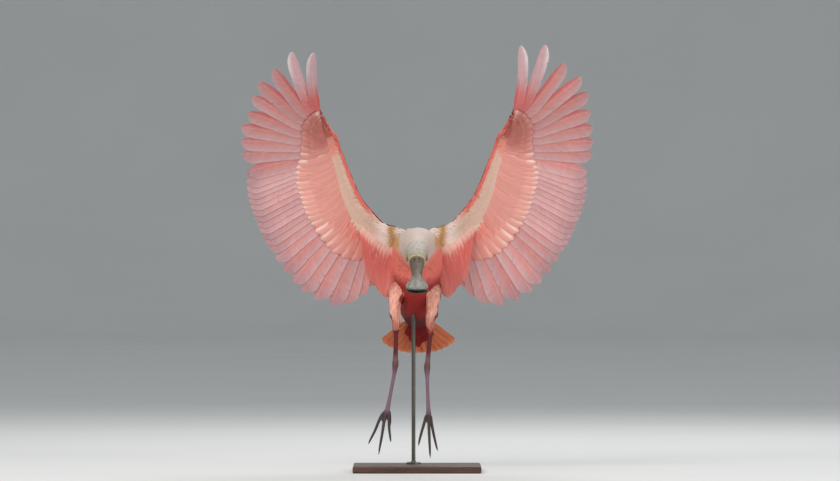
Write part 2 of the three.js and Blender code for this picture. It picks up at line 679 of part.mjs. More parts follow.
function addLegs() {
  for (const [side, { thigh, shank, tarsus, toes }] of Object.entries(LEGS)) {
    const toeTop = toes[0][0][2];
    const above = (shift) => beyond(V(0, 0, toeTop + shift), V(0, 0, 1));
    const [x, y] = tarsus.at(-1);
    const pad = limb([tarsus.at(-2), tarsus.at(-1), [x, y - 2, toeTop - 12, 3.5]]);
    const webs = [web(toes[0], toes[1]), web(toes[1], toes[2])];
    const foot = joined([pad, ...webs, ...toes.map((toe) => limb(toe, { sides: 6, steps: 1 }))]);
    const flesh = limb(thigh, { sides: 12, steps: 3 }).subtract(trunkClear);
    addNode(bird, `leg_${side}_thigh`, flesh, FINISH.pink);
    addNode(bird, `leg_${side}_shank`, limb(shank), FINISH.leg);
    addNode(bird, `leg_${side}_tarsus`, limb(tarsus).intersect(above(GAP)), FINISH.leg);
    addNode(bird, `foot_${side}`, foot.subtract(above(0)), FINISH.foot);
  }
}

// Stand: a wooden base with bevelled edges and one steel rod with a foot flange, up to the belly

function addStand() {
  const { width, depth, thick, bevel, rod, x, y, flange } = STAND;
  const outline = new THREE.Shape();
  const [w, d] = [width / 2 - bevel, depth / 2 - bevel];
  outline.moveTo(-w, -d);
  outline.lineTo(w, -d);
  outline.lineTo(w, d);
  outline.lineTo(-w, d);
  outline.closePath();
  const edges = { bevelThickness: bevel, bevelSize: bevel, bevelSegments: 1 };
  const base = new THREE.ExtrudeGeometry(outline, { depth: thick - 2 * bevel, ...edges });
  base.translate(0, 0, bevel);
  addNode(stand, "stand_base", solidFrom(base), FINISH.wood);
  const foot = thick + GAP;
  const insideBelly = 420;
  const profile = [
    [0, foot],
    [flange, foot],
    [flange, foot + 2.5],
    [flange - 2, foot + 4],
    [rod + 2, foot + 5],
    [rod, foot + 8],
    [rod, insideBelly],
    [0, insideBelly],
  ].map(([r, z]) => new THREE.Vector2(r, z));
  const post = new THREE.LatheGeometry(profile, 18);
  post.rotateX(Math.PI / 2);
  post.translate(x, y, 0);
  addNode(stand, "stand_rod", solidFrom(post).subtract(trunkClear), FINISH.steel);
}

addTrunkAndHead();
addBill();
addWings();
addTail();
addLegs();
addStand();

export default part;
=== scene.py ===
import math
from functools import partial

import bpy
import numpy as np
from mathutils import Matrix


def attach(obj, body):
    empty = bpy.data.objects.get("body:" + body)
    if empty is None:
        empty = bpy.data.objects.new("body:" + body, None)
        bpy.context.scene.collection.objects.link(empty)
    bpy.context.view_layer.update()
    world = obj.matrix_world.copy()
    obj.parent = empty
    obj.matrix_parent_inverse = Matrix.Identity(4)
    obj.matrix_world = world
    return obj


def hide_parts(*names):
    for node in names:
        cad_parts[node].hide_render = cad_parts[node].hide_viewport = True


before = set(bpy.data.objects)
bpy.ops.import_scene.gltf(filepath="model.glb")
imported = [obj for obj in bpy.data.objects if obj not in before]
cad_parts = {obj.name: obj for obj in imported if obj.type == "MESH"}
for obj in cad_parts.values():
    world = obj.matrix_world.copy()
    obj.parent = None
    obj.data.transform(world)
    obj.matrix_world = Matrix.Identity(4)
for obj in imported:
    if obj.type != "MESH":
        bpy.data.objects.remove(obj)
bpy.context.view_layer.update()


# Stand base: a slab of hardwood with eased edges, stained dark, sanded and given a satin oil finish.
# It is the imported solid, which gets its grain here.

def srgb(red, green, blue):
    """A colour given as 0 to 255 on a screen, as the linear values that a shader takes."""
    tone = np.array([red, green, blue]) / 255
    return np.where(tone <= 0.04045, tone / 12.92, ((tone + 0.055) / 1.055) ** 2.4)


class Wire:
    """A socket in a material's tree. Sums and products of wires and numbers add the Math nodes for them."""

    def __init__(self, tree, socket=None):
        self.tree = tree
        self.socket = socket

    def node(self, kind, settings=None, values=None, out=0):
        """Adds a node. Its settings come first, then each socket's value or link. Gives one output."""
        made = self.tree.nodes.new("ShaderNode" + kind)
        for name, value in (settings or {}).items():
            setattr(made, name, value)
        for name, value in (values or {}).items():
            if isinstance(value, Wire):
                self.tree.links.new(value.socket, made.inputs[name])
            elif isinstance(value, np.ndarray):
                made.inputs[name].default_value = (*value, 1)
            else:
                made.inputs[name].default_value = value
        return Wire(self.tree, made.outputs[out])

    def maths(self, operation, *values):
        return self.node("Math", {"operation": operation}, dict(enumerate(values)))

    def __add__(self, other):
        return self.maths("ADD", self, other)

    def __sub__(self, other):
        return self.maths("SUBTRACT", self, other)

    def __rsub__(self, other):
        return self.maths("SUBTRACT", other, self)

    def __mul__(self, other):
        return self.maths("MULTIPLY", self, other)

    __radd__ = __add__
    __rmul__ = __mul__

    def step(self, low, high):
        """0 below the low value and 1 above the high one, with a smooth rise between."""
        values = {"Value": self, "From Min": low, "From Max": high}
        return self.node("MapRange", {"interpolation_type": "SMOOTHSTEP"}, values)

    def colours(self, one, other, blend="MIX"):
        """The first colour where this wire is 0, and the second or its blend with the first where it is 1."""
        settings = {"data_type": "RGBA", "blend_type": blend}
        return self.node("Mix", settings, {0: self, 6: one, 7: other}, out=2)

    def bump(self, distance, strength):
        """This wire as a height, for a Normal socket."""
        return self.node("Bump", {}, {"Height": self, "Distance": distance, "Strength": strength})

    def place(self):
        """Where a point lies on the piece."""
        return self.node("TexCoord", out="Object")

    def tint(self, out="Color"):
        """The colour that the mesh holds at its points, or its alpha."""
        return self.node("Attribute", {"attribute_name": "tint"}, out=out)

    def axis(self, name):
        """One axis of this place."""
        return self.node("SeparateXYZ", {}, {0: self}, out=name)

    def vector(self, *values):
        """A place from values for its axes."""
        return self.node("CombineXYZ", {}, dict(enumerate(values)))

    def noise(self, place, scale, detail, rough=0.5):
        """Cloudy noise at a place, with as many finer levels as the detail says."""
        values = {"Vector": place, "Scale": scale, "Detail": detail, "Roughness": rough}
        return self.node("TexNoise", {}, values)

    def cells(self, place, scale, feature="DISTANCE_TO_EDGE"):
        """How far a place is from the edge of its cell, or with the feature F1 from the cell's middle."""
        return self.node("TexVoronoi", {"feature": feature}, {"Vector": place, "Scale": scale})

    def stretched(self, place, scale):
        """A place with each axis multiplied, so that a pattern on it runs long the other way."""
        return self.node("VectorMath", {"operation": "MULTIPLY"}, {0: place, 1: scale})


def new_finish(name, even):
    """A material with one Principled shader. What is even all over is set on the shader's own sockets."""
    material = bpy.data.materials.new(name)
    material.use_nodes = True
    shader = material.node_tree.nodes["Principled BSDF"]
    for socket, value in even.items():
        shader.inputs[socket].default_value = value
    return material, Wire(material.node_tree)


def feed(material, wires):
    """Links wires to the material's shader."""
    shader = material.node_tree.nodes["Principled BSDF"]
    for socket, wire in wires.items():
        material.node_tree.links.new(wire.socket, shader.inputs[socket])
    return material


def dark_wood():
    """Growth rings are a sine of noise that is drawn out along X; pores are short dark dashes."""
    material, start = new_finish("stand_wood", {"Coat Weight": 0.18, "Coat Roughness": 0.35})
    place = start.place()
    long = start.stretched(place, (1.4, 16, 16))
    grain = start.noise(long, 2.2, 6, 0.62)
    figure = start.noise(start.stretched(place, (3, 42, 60)), 2.0, 3)
    rings = start.maths("SINE", grain * 38) * 0.5 + 0.5
    pores = start.noise(start.stretched(place, (60, 900, 900)), 1.0, 2).step(0.6, 0.72)
    dark, light = srgb(48, 31, 22), srgb(92, 62, 43)
    colour = (rings * 0.45 + figure * 0.55).colours(dark, light)
    colour = (pores * 0.55).colours(colour, srgb(24, 15, 11))
    height = rings * 0.25 - pores
    rough = figure * 0.18 + pores * 0.2 + 0.36
    return feed(material, {"Base Color": colour, "Roughness": rough, "Normal": height.bump(0.0003, 0.5)})


def dress(node, material):
    """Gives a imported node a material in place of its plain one."""
    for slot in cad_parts[node].material_slots:
        slot.material = material


dress("stand_base", dark_wood())


# Stand rod: a round steel rod screwed through a turned foot flange, brushed round and round, with a dark
# satin finish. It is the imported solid.

def dark_steel():
    """Brush lines are noise that is fine along Z and long round the rod, and a faint cloud dulls them."""
    material, start = new_finish("stand_metal", {"Metallic": 1.0})
    place = start.place()
    lines = start.noise(start.stretched(place, (20, 20, 2600)), 1.0, 2)
    cloud = start.noise(place, 26, 3)
    colour = (lines * 0.5 + cloud * 0.5).colours(srgb(86, 83, 78), srgb(124, 120, 113))
    rough = lines * 0.12 + cloud * 0.1 + 0.27
    return feed(material, {"Base Color": colour, "Roughness": rough, "Normal": lines.bump(0.00005, 0.4)})


dress("stand_rod", dark_steel())


# Skin: one thin pink skin over trunk, neck, fleshy wings, thighs and tail stem. It lies under the coat by
# the coat's depth, so only its warmth shows between the feathers. All sizes below are in millimetres.

MM = 0.001
SIDES = {"left": 1, "right": -1}  # the bird's own left is at +X
TOE_RISE = 30  # lowest toe tip above the floor
STEP = 2.2727  # one step of the wings' layout, 1/440 m
STEPS_DOWN = 458.2  # the layout counts its heights down; this many steps down is the lowest toe tip
TRUNK_DEPTH = 7  # how far the skin lies under the coat's outer face
NECK_DEPTH = 5.5
WING_DEPTH = 2.5
TAIL_DEPTH = 2.5
THIGH_DEPTH = 5
CUBE = 2.5  # edge of the cubes that the skin is fused in
NECK_ROOT = np.array([0, -58, 512])
TAILWARD = np.array([0, 0.705, -0.709])  # the trunk leans back by 45 degrees
BACKWARD = np.array([0, 0.709, 0.705])
TRUNK_MIDDLE = np.array([0, 0, 471])

# Each row: y and z of the middle line, half width, height above it and depth below it.
TRUNK = [
    [-58, 512, 45, 40, 44],
    [-30, 508, 54, 46, 50],
    [0, 492, 58, 54, 56],
    [30, 460, 59, 56, 60],
    [58, 422, 57, 52, 62],
    [84, 384, 48, 42, 52],
    [104, 354, 34, 28, 34],
    [119, 334, 19, 13, 17],
]
NECK = [
    [-57, 512, 46, 40, 44],
    [-80, 512, 37, 34, 37],
    [-110, 510, 30, 29, 30],
    [-150, 506, 27, 26, 26],
    [-186, 502, 27, 25, 25],
]
BODY = NECK[:0:-1] + TRUNK  # from the head to the rump in one run of rings
TAIL_STEM = [
    [92, 372, 20, 12, 12],
    [108, 349, 30, 13, 14],
    [122, 328, 27, 8, 9],
    [133, 311, 16, 4, 5],
]
# Each row: x, y, z and radius.
THIGHS = {
    "left": [
        [26, 44, 446, 18], [34, 24, 414, 18.5], [35, 12, 384, 15.5], [32, 8, 352, 11.5], [31, 8, 322, 7],
    ],
    "right": [
        [-31, 44, 446, 18], [-43, 24, 414, 18.5], [-49, 12, 384, 15.5], [-48, 8, 352, 11.5], [-48, 8, 326, 7],
    ],
}
# Each row: station, leading edge (out, down, depth), trailing edge of the fleshy wing (out, down, depth)
# and thickness. Station 0 is the shoulder, 3 the elbow, 6 the wrist and 9 the end of the hand.
WING = [
    [-1, 8, 231, 12, 10, 262, 26, 30],
    [0, 22, 227, 4, 22, 262, 22, 34],
    [1, 34, 222.5, 0, 42, 252, 26, 30],
    [2, 46, 210.5, -2, 56, 240, 30, 26],
    [3, 56.5, 196.5, -2, 70, 230, 30, 22],
    [4, 64, 180, 0, 82, 205, 27, 19],
    [5, 70, 165, 3, 87, 180, 24, 17],
    [6, 76, 149, 6, 92, 160, 20, 15],
    [7, 80, 138, -3, 96, 146, 10, 13],
    [8, 87, 129.5, -19, 99, 134, -8, 10],
    [9, 92, 117, -48, 98, 119, -44, 6],
]


def unit(v):
    """Each vector over its own length."""
    return v / np.linalg.norm(v, axis=-1, keepdims=True)


def dot(a, b):
    """The product of each pair of vectors."""
    return (a * b).sum(-1)


def circle(count):
    """So many angles, evenly round a circle."""
    return np.linspace(0, 2 * np.pi, count, endpoint=False)


def ease(value, low, high):
    """0 below the low value and 1 above the high one, with a smooth rise between."""
    part = np.clip((value - low) / (high - low), 0, 1)
    return part * part * (3 - 2 * part)


def along(rows, place):
    """The rows' values read at any place of their first column: between two rows a cubic runs from one to
    the other, with the slopes that the rows on either side of each give."""
    rows = np.asarray(rows, float)
    last = len(rows) - 1
    i = np.minimum(np.searchsorted(rows[1:, 0], place, side="left"), last - 1)
    a, b = rows[i], rows[i + 1]
    before, after = rows[np.maximum(i - 1, 0)], rows[np.minimum(i + 2, last)]
    span = b[..., :1] - a[..., :1]
    u = (np.asarray(place, float)[..., None] - a[..., :1]) / span
    slope_a = (b - before) / (b[..., :1] - before[..., :1]) * span
    slope_b = (after - a) / (after[..., :1] - a[..., :1]) * span
    ends = a * (2 * u**3 - 3 * u**2 + 1) + b * (3 * u**2 - 2 * u**3)
    return (ends + slope_a * (u**3 - 2 * u**2 + u) + slope_b * (u**3 - u**2))[..., 1:]


def counted(rows):
    """Rows with their own number put before them, to be read by along."""
    return [[i, *row] for i, row in enumerate(rows)]


def oval(rows, at, angle, grow=0.0):
    """A point of a body of oval rings about a middle line in the plane x = 0: the ring's half width times the
    cosine of the angle across, and its height or depth times the sine square to the line."""
    table = counted(rows)
    line = along(table, at)
    way = along(table, np.minimum(at + 0.05, len(rows) - 1)) - along(table, np.maximum(at - 0.05, 0))
    run = np.hypot(way[..., 0], way[..., 1]) * np.sign(way[..., 0])
    rise = np.sin(angle) * (np.where(np.sin(angle) > 0, line[..., 3], line[..., 4]) + grow)
    x = (line[..., 2] + grow) * np.cos(angle)
    y = line[..., 0] - rise * way[..., 1] / run
    z = line[..., 1] + rise * way[..., 0] / run
    return np.stack(np.broadcast_arrays(x, y, z), -1)


def limb(path, at, angle, grow=0.0):
    """A point of a round limb: the path's radius round its middle line, at an angle from its outer side."""
    table = counted(path)
    line = along(table, at)
    end = len(path) - 1
    way = along(table, np.minimum(at + 0.1, end)) - along(table, np.maximum(at - 0.1, 0))
    way = unit(way[..., :3])
    across = unit(np.cross(np.array([0, 1, 0.01]), way))
    front = np.cross(way, across)
    radius = (line[..., 3] + grow)[..., None]
    angle = np.asarray(angle)[..., None]
    return line[..., :3] + radius * (across * np.cos(angle) + front * np.sin(angle))


def wing_edges(station):
    """The leading edge, trailing edge and thickness of the fleshy wing at a station."""
    row = along(WING, station)
    down = TOE_RISE + (STEPS_DOWN - row[..., [1, 4]]) * STEP
    lead = np.stack([row[..., 0] * STEP, row[..., 2], down[..., 0]], -1)
    trail = np.stack([row[..., 3] * STEP, row[..., 5], down[..., 1]], -1)
    return lead, trail, row[..., 6]


def wing_up(station):
    """The way out of the wing's upper side, square to its chord and its span."""
    (a, b, _), (c, d, _), (lead, trail, _) = (wing_edges(station + shift) for shift in (-0.1, 0.1, 0))
    return unit(np.cross(c + d - a - b, trail - lead))


def on_wing(station, share, side, grow=0.0):
    """A point of the fleshy wing at a share of the chord from its leading edge: half the thickness, by a
    half ellipse, to the upper side (1) or the under one (-1), and a bulge to the upper side."""
    station, share = np.broadcast_arrays(np.asarray(station, float), share)
    lead, trail, thick = wing_edges(station)
    reach = (share - 0.28) / np.where(share < 0.28, 0.3, 0.78)
    half = 0.5 * thick * np.sqrt(np.maximum(1 - reach**2, 0.01))
    height = 0.88 * thick * share * (1 - share) + side * (half + grow)
    return lead + (trail - lead) * share[..., None] + wing_up(station) * height[..., None]


def mirrored(points, side):
    """The bird's right wing is its left one turned over the plane x = 0."""
    return points * np.array([side, 1, 1])


def tubes(rings):
    """The corners of faces for closed bodies through rings. Rings is an array of bodies, rings, points round
    and coordinates; a strip of faces closes each end. Gives the points, the quads and the triangles."""
    bodies, count, around = rings.shape[:3]
    i, j = np.meshgrid(np.arange(count - 1), np.arange(around), indexing="ij")
    here, beside = i * around + j, i * around + (j + 1) % around
    walls = np.stack([here, beside, beside + around, here + around], -1).reshape(-1, 4)
    k = np.arange(1, around // 2 - 1)
    strip = np.stack([k, k + 1, around - k - 1, around - k], -1)
    half = around // 2
    ends = np.array([[0, 1, around - 1], [half - 1, half, half + 1]])
    last = (count - 1) * around
    quads = np.concatenate([walls, strip[:, ::-1], strip + last])
    threes = np.concatenate([ends[:, ::-1], ends + last])
    shift = np.arange(bodies)[:, None, None] * (count * around)
    return rings.reshape(-1, 3), (quads + shift).reshape(-1, 4), (threes + shift).reshape(-1, 3)


def joined(parts):
    """Parts of points, quads, triangles and any values at the points, as one part's arrays."""
    start = np.cumsum([0] + [len(part[0]) for part in parts])
    quads, threes = (np.concatenate([part[k] + at for part, at in zip(parts, start)]) for k in (1, 2))
    points, *values = (np.concatenate([part[k] for part in parts]) for k in (0, *range(3, len(parts[0]))))
    return points, quads, threes, *values


def put(name, points, quads, threes, finishes, maps=None, tint=None, kinds=None, crease=60):
    """A piece from arrays of points in millimetres and of faces' corners, turned to face outwards. Maps are
    UV maps, tint is a colour with or without its alpha, and kinds numbers the material, all at the points."""
    fans = [quads[:, [0, 1, 2]], quads[:, [0, 2, 3]], threes]
    a, b, c = np.moveaxis(points[np.concatenate(fans)], 1, 0)
    if dot(a - points[0], np.cross(b - points[0], c - points[0])).sum() < 0:
        quads, threes = quads[:, ::-1], threes[:, ::-1]
    corners = np.concatenate([quads.ravel(), threes.ravel()]).astype(np.int32)
    sizes = np.repeat([4, 3], [len(quads), len(threes)])
    starts = np.cumsum(sizes) - sizes
    mesh = bpy.data.meshes.new(name)
    mesh.vertices.add(len(points))
    mesh.vertices.foreach_set("co", (points * MM).astype(np.float32).ravel())
    mesh.loops.add(len(corners))
    mesh.loops.foreach_set("vertex_index", corners)
    mesh.polygons.add(len(sizes))
    mesh.polygons.foreach_set("loop_start", starts.astype(np.int32))
    for finish in finishes:
        mesh.materials.append(finish)
    if kinds is not None:
        mesh.polygons.foreach_set("material_index", kinds[corners[starts]].astype(np.int32))
    mesh.update(calc_edges=True)
    mesh.shade_smooth()
    mesh.set_sharp_from_angle(angle=math.radians(crease))
    for title, places in (maps or {}).items():
        layer = mesh.uv_layers.new(name=title)
        layer.data.foreach_set("uv", places[corners].astype(np.float32).ravel())
    if tint is not None:
        if tint.shape[1] == 3:
            tint = np.insert(tint, 3, 1, axis=1)
        layer = mesh.color_attributes.new("tint", "FLOAT_COLOR", "POINT")
        layer.data.foreach_set("color", tint.astype(np.float32).ravel())
    piece = bpy.data.objects.new(name, mesh)
    bpy.context.scene.collection.objects.link(piece)
    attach(piece, "root")
    return piece


def mixed(colour, mask, tone):
    """A colour turned towards another by a mask."""
    return colour + (tone - colour) * np.clip(mask, 0, 1)[..., None]


def body_colour(points):
    """The plumage's markings by place, the same for skin and coat: white neck and mantle with an ochre tuft
    at each shoulder, rose breast, crimson belly, rump and tail coverts, and cream thighs."""
    x, y, z = np.moveaxis(points, -1, 0)
    back = dot(points - NECK_ROOT, TAILWARD)
    above = dot(points - TRUNK_MIDDLE, BACKWARD)
    out = np.abs(x)
    colour = np.broadcast_to(srgb(222, 115, 102), points.shape)
    colour = mixed(colour, ease(back, 70, 108) * (1 - ease(above, -30, 12)), srgb(150, 41, 37))
    colour = mixed(colour, ease(back, 170, 220), srgb(88, 8, 12))
    colour = mixed(colour, ease(above, 5, 35) * (1 - ease(back, 125, 195)), srgb(228, 204, 195))
    colour = mixed(colour, ease(above, 0, 25) * ease(back, 165, 215), srgb(176, 34, 34))
    hem = z - 1.24 * np.maximum(out - 20, 0)  # the white ends in a V below the cheeks
    white = ease(hem, 460, 486) * (1 - ease(back, 60, 120))
    colour = mixed(colour, white, srgb(193, 176, 164))
    tuft = ease(out, 37, 45) * (1 - ease(out, 60, 66)) * ease(z, 500, 516) * (1 - ease(y, -15, 15))
    colour = mixed(colour, tuft, srgb(190, 142, 92))
    colour = mixed(colour, ease(out, 62, 74) * ease(z, 440, 475), srgb(212, 140, 126))
    for path in THIGHS.values():
        thigh_x, thigh_y, thigh_z, radius = np.array(path)[::-1].T
        away = np.hypot(x - np.interp(z, thigh_z, thigh_x), y - np.interp(z, thigh_z, thigh_y))
        beside = 1 - ease(away - np.interp(z, thigh_z, radius), -1, 1.5)
        colour = mixed(colour, beside * (1 - ease(z, 405, 440)), srgb(240, 180, 160))
        colour = mixed(colour, beside * (1 - ease(z, 316, 356)), srgb(150, 68, 60))
    return colour


def bare_skin():
    """The markings' colour with a faint blush, and a bump of small quill follicles."""
    material, start = new_finish("body_skin", {"Roughness": 0.6})
    place = start.place()
    blush = start.noise(place, 90, 3)
    pores = start.cells(place, 380, "F1")
    colour = (blush * 0.25).colours(start.tint(), srgb(150, 70, 62))
    return feed(material, {"Base Color": colour, "Normal": pores.bump(0.0006, 0.5)})


def flesh_rings():
    """Rings through every part of the flesh, each set in by its coat's depth."""
    turn = circle(64)
    at = np.linspace(0, len(BODY) - 1, 150)[:, None]
    yield oval(BODY, at, turn, (NECK_DEPTH - TRUNK_DEPTH) * ease(at, 2.5, 4.5) - NECK_DEPTH)
    yield oval(TAIL_STEM, np.linspace(0, 3, 30)[:, None], turn, -TAIL_DEPTH)
    for path in THIGHS.values():
        yield limb(path, np.linspace(0, 4, 60)[:, None], turn, -THIGH_DEPTH)
    stations = np.linspace(-1, 9, 160)[:, None]
    shares = 0.5 - 0.45 * np.cos(np.linspace(0, np.pi, 12))
    ring = [on_wing(stations, shares, 1, -WING_DEPTH), on_wing(stations, shares[::-1], -1, -WING_DEPTH)]
    wing = np.concatenate(ring, axis=1)
    for side in SIDES.values():
        yield mirrored(wing, side)


def one_skin():
    """All the flesh as one closed skin: its bodies are fused in a grid of small cubes, which gives points
    and quads."""
    bodies = [tubes(rings[None]) for rings in flesh_rings()]
    start = np.cumsum([0] + [len(body[0]) for body in bodies])
    faces = [block + at for (_, *both), at in zip(bodies, start) for block in both]
    points = np.concatenate([body[0] for body in bodies])
    mesh = bpy.data.meshes.new("flesh")
    mesh.from_pydata(points * MM, [], [row for block in faces for row in block.tolist()])
    shape = bpy.data.objects.new("flesh", mesh)
    bpy.context.scene.collection.objects.link(shape)
    remesh = shape.modifiers.new("fuse", "REMESH")
    remesh.mode = "VOXEL"
    remesh.voxel_size = CUBE * MM
    fused = bpy.data.meshes.new_from_object(shape.evaluated_get(bpy.context.evaluated_depsgraph_get()))
    place = np.empty(len(fused.vertices) * 3)
    fused.vertices.foreach_get("co", place)
    corners = np.empty(len(fused.loops), np.int32)
    fused.loops.foreach_get("vertex_index", corners)
    bpy.data.objects.remove(shape)
    bpy.data.meshes.remove(mesh)
    bpy.data.meshes.remove(fused)
    return place.reshape(-1, 3) / MM, corners.reshape(-1, 4)


body_points, body_quads = one_skin()


# Head: bare skin of greenish grey, thin and finely wrinkled over the skull, with thick round lids, a slack
# corner of the mouth, a small ear hole and a bare throat. It runs on under the neck's feathers.

HEAD = [
    [-185, 502, 27, 25, 25],
    [-200, 500, 26, 25, 25],
    [-218, 494, 24, 24, 23],
    [-236, 487, 21.5, 20, 19],
    [-250, 481, 18.5, 14, 15],
    [-256, 478.5, 17, 11, 12],
]
EYE_PLACE = np.array([19.2, -232, 484.5])
EYE_OUT = unit(np.array([1, -0.12, 0.04]))  # the left eye looks out to the side and a little ahead
EYE_AHEAD = unit(np.cross([0, 0, 1], EYE_OUT))
EYE_UP = np.cross(EYE_OUT, EYE_AHEAD)
LID_RADIUS = 4.5
EAR = np.array([23, -208, 488])
GAPE = np.array([[17.5, -253, 474], [21.5, -232, 476.5]])
BILL_WAY = np.array([0, -0.906, -0.423])  # the bill points 25 degrees down
BILL_UP = np.array([0, -0.423, 0.906])
BILL_ROOT = np.array([0, -254, 479])


def bell(value, middle, wide):
    """1 at the middle, and falling off to both sides as the exponential of the negative square."""
    return np.exp(-(((value - middle) / wide) ** 2))


def folded(points):
    """Points with the right side's turned over to the left."""
    return np.where([True, False, False], np.abs(points), points)


def eye_distance(points):
    """How far points lie from the eye as it is seen from the side."""
    return np.linalg.norm((points - EYE_PLACE)[..., 1:], axis=-1)


def beside_line(points, ends):
    """How far points lie from a straight line between two ends, and how far along it, from 0 to 1."""
    run = ends[1] - ends[0]
    share = np.clip(dot(points - ends[0], run) / dot(run, run), 0, 1)
    return np.linalg.norm(points - ends[0] - share[..., None] * run, axis=-1), share


def head_surface():
    """The head's ovals, run on inside the neck, with each fold as a height over them: a socket round the
    eye, a ridge over it, a cheek, the mouth's corner, the ear, and folds along the throat and nape."""
    at = np.concatenate([np.linspace(0, 0.9, 20), np.linspace(0.93, 5, 130)])[:, None]
    angle = circle(144)[None]
    points = oval(HEAD, at, angle, -0.4)
    out = unit(oval(HEAD, at, angle, 1.0) - points)
    flat = folded(points)
    eye = eye_distance(flat)
    outer = ease(flat[..., 0], 8, 14)
    height = -1.6 * bell(eye, 0, 8.5) * outer
    height += 1.3 * bell(eye, 10, 2.6) * outer * ease(points[..., 2], 484, 490)
    cheek, share = beside_line(flat, GAPE)
    height -= 1.5 * bell(cheek, 0, 0.9) * (1 - 0.5 * share)
    height += 0.9 * bell(cheek, 2.6, 1.4)
    hole = np.linalg.norm((flat - EAR) * np.array([1, 1, 0.55]), axis=-1)
    height += 0.8 * bell(hole, 3.4, 1.1) - 3.0 * bell(hole, 0, 1.7)
    under = ease(-np.sin(angle), 0.35, 0.9)
    height += under * 0.55 * np.sin(angle * 26 + np.sin(at * 3.1) * 0.8) * ease(at, 0.6, 1.6)
    nape = ease(np.sin(angle), 0.2, 0.8) * (1 - ease(at, 1.2, 2.6))
    height += nape * 0.4 * np.sin(at * 17 + 0.6 * np.cos(angle * 3))
    height += 0.22 * np.sin(eye * 2.6) * bell(eye, 12, 5) * outer
    return points + out * height[..., None]


def round_eye(flat, turn, rise, tall=1):
    """Points by their distance from the left eye's axis, their turn about it and their place along it."""
    ahead, up = flat * np.cos(turn), flat * tall * np.sin(turn)
    return EYE_PLACE + EYE_AHEAD * ahead[..., None] + EYE_UP * up[..., None] + EYE_OUT * rise[..., None]


def lid_rings():
    """Two soft rings round each eye, the outer one lower, each a flattened tube on a circle that leans with
    the face and is drawn out a little to the front and the rear."""
    turn = circle(48)[:, None]
    around = circle(12)[None]
    for side in SIDES.values():
        for radius, tube, stand in ((LID_RADIUS, 0.95, 3.3), (LID_RADIUS + 1.7, 1.15, 2.0)):
            spread = radius * (1 + 0.05 * np.cos(2 * turn)) + tube * np.cos(around)
            ring = round_eye(spread, turn, stand + 0.75 * tube * np.sin(around), 0.96)
            yield mirrored(ring, side)


def ring_faces(ring):
    """The faces of a ring that closes on itself both ways."""
    n, m = ring.shape[:2]
    i, j = np.meshgrid(np.arange(n), np.arange(m), indexing="ij")
    a, b = i * m + j, i * m + (j + 1) % m
    c, d = (i + 1) % n * m + (j + 1) % m, (i + 1) % n * m + j
    return np.stack([a, b, c, d], -1).reshape(-1, 4)


def head_colour(points):
    """Greenish grey, paler on the crown, yellow at the bill's root, orange round eye and throat, dark at the
    ear and on the band that parts it from the neck's feathers."""
    flat = folded(points)
    ahead = dot(points - BILL_ROOT, BILL_WAY)
    ear = np.linalg.norm(flat - EAR, axis=-1)
    colour = np.broadcast_to(srgb(172, 166, 144), points.shape)
    colour = mixed(colour, ease(points[..., 2], 488, 512) * 0.9, srgb(196, 188, 176))
    colour = mixed(colour, (1 - ease(points[..., 2], 466, 478)) * 0.75, srgb(196, 132, 84))
    colour = mixed(colour, (1 - ease(eye_distance(flat), 6, 11)) * 0.6, srgb(176, 108, 70))
    colour = mixed(colour, (1 - ease(ear, 1.6, 5)) * 0.75, srgb(66, 52, 42))
    colour = mixed(colour, (1 - ease(np.abs(points[..., 1] + 190), 2, 6)) * 0.5, srgb(74, 64, 56))
    return mixed(colour, 1 - ease(np.abs(ahead + 2.5), 1.0, 4.5), srgb(206, 182, 120))


def wrinkled_skin():
    """Cells of two sizes, drawn out across the head, make its fine wrinkles; the creases are painted darker,
    as painted shade in them.
    """
    even = {"Subsurface Weight": 0.08, "Subsurface Scale": 0.004, "Specular IOR Level": 0.4}
    material, start = new_finish("head_skin", even)
    place = start.place()
    warp = start.stretched(start.noise(place, 140, 2), (0.004, 0.004, 0.004))
    bent = start.node("VectorMath", {"operation": "ADD"}, {0: place, 1: warp})
    fine = start.cells(bent, 1150)
    coarse = start.cells(start.stretched(bent, (0.7, 1.7, 1)), 460)
    spots = start.noise(place, 130, 5, 0.62).step(0.5, 0.66)
    creases = 1 - coarse.step(0, 0.14)
    colour = (spots * 0.4).colours(start.tint(), srgb(122, 114, 92))
    # Painted shade: the creases between the wrinkles are darkened towards a dark brown.
    colour = (creases * 0.22).colours(colour, srgb(78, 68, 54))
    height = coarse.step(0, 0.3) + fine.step(0, 0.3) * 0.5
    rough = spots * 0.12 + creases * 0.15 + 0.48
    return feed(material, {"Base Color": colour, "Roughness": rough, "Normal": height.bump(0.0007, 0.7)})


NO_THREES = np.zeros((0, 3), int)
FLESH, FACE = 0, 1  # which of the skin's two materials
parts = [(body_points, body_quads, NO_THREES, body_colour(body_points), np.full(len(body_points), FLESH))]
face, face_quads, face_threes = tubes(head_surface()[None])
parts.append((face, face_quads, face_threes, head_colour(face), np.full(len(face), FACE)))
for ring in lid_rings():
    lid = ring.reshape(-1, 3)
    parts.append((lid, ring_faces(ring), NO_THREES, head_colour(lid) * 0.72, np.full(len(lid), FACE)))
points, quads, threes, tint, kinds = joined(parts)
skin = put("skin", points, quads, threes, [bare_skin(), wrinkled_skin()], tint=tint, kinds=kinds)
flesh_nodes = ["head", "neck", "torso", "tail", "leg_left_thigh", "leg_right_thigh"]
flesh_nodes += [f"wing_{label}_{length}" for label in SIDES for length in ("arm", "forearm", "hand")]
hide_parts(*flesh_nodes)


# Eyes: wet balls set in their lids, with a dark red iris, a black pupil and a clear domed cornea.

EYE_RADIUS = 5.4
EYE_SUNK = 0.25  # how far the ball's middle lies behind the lids' one


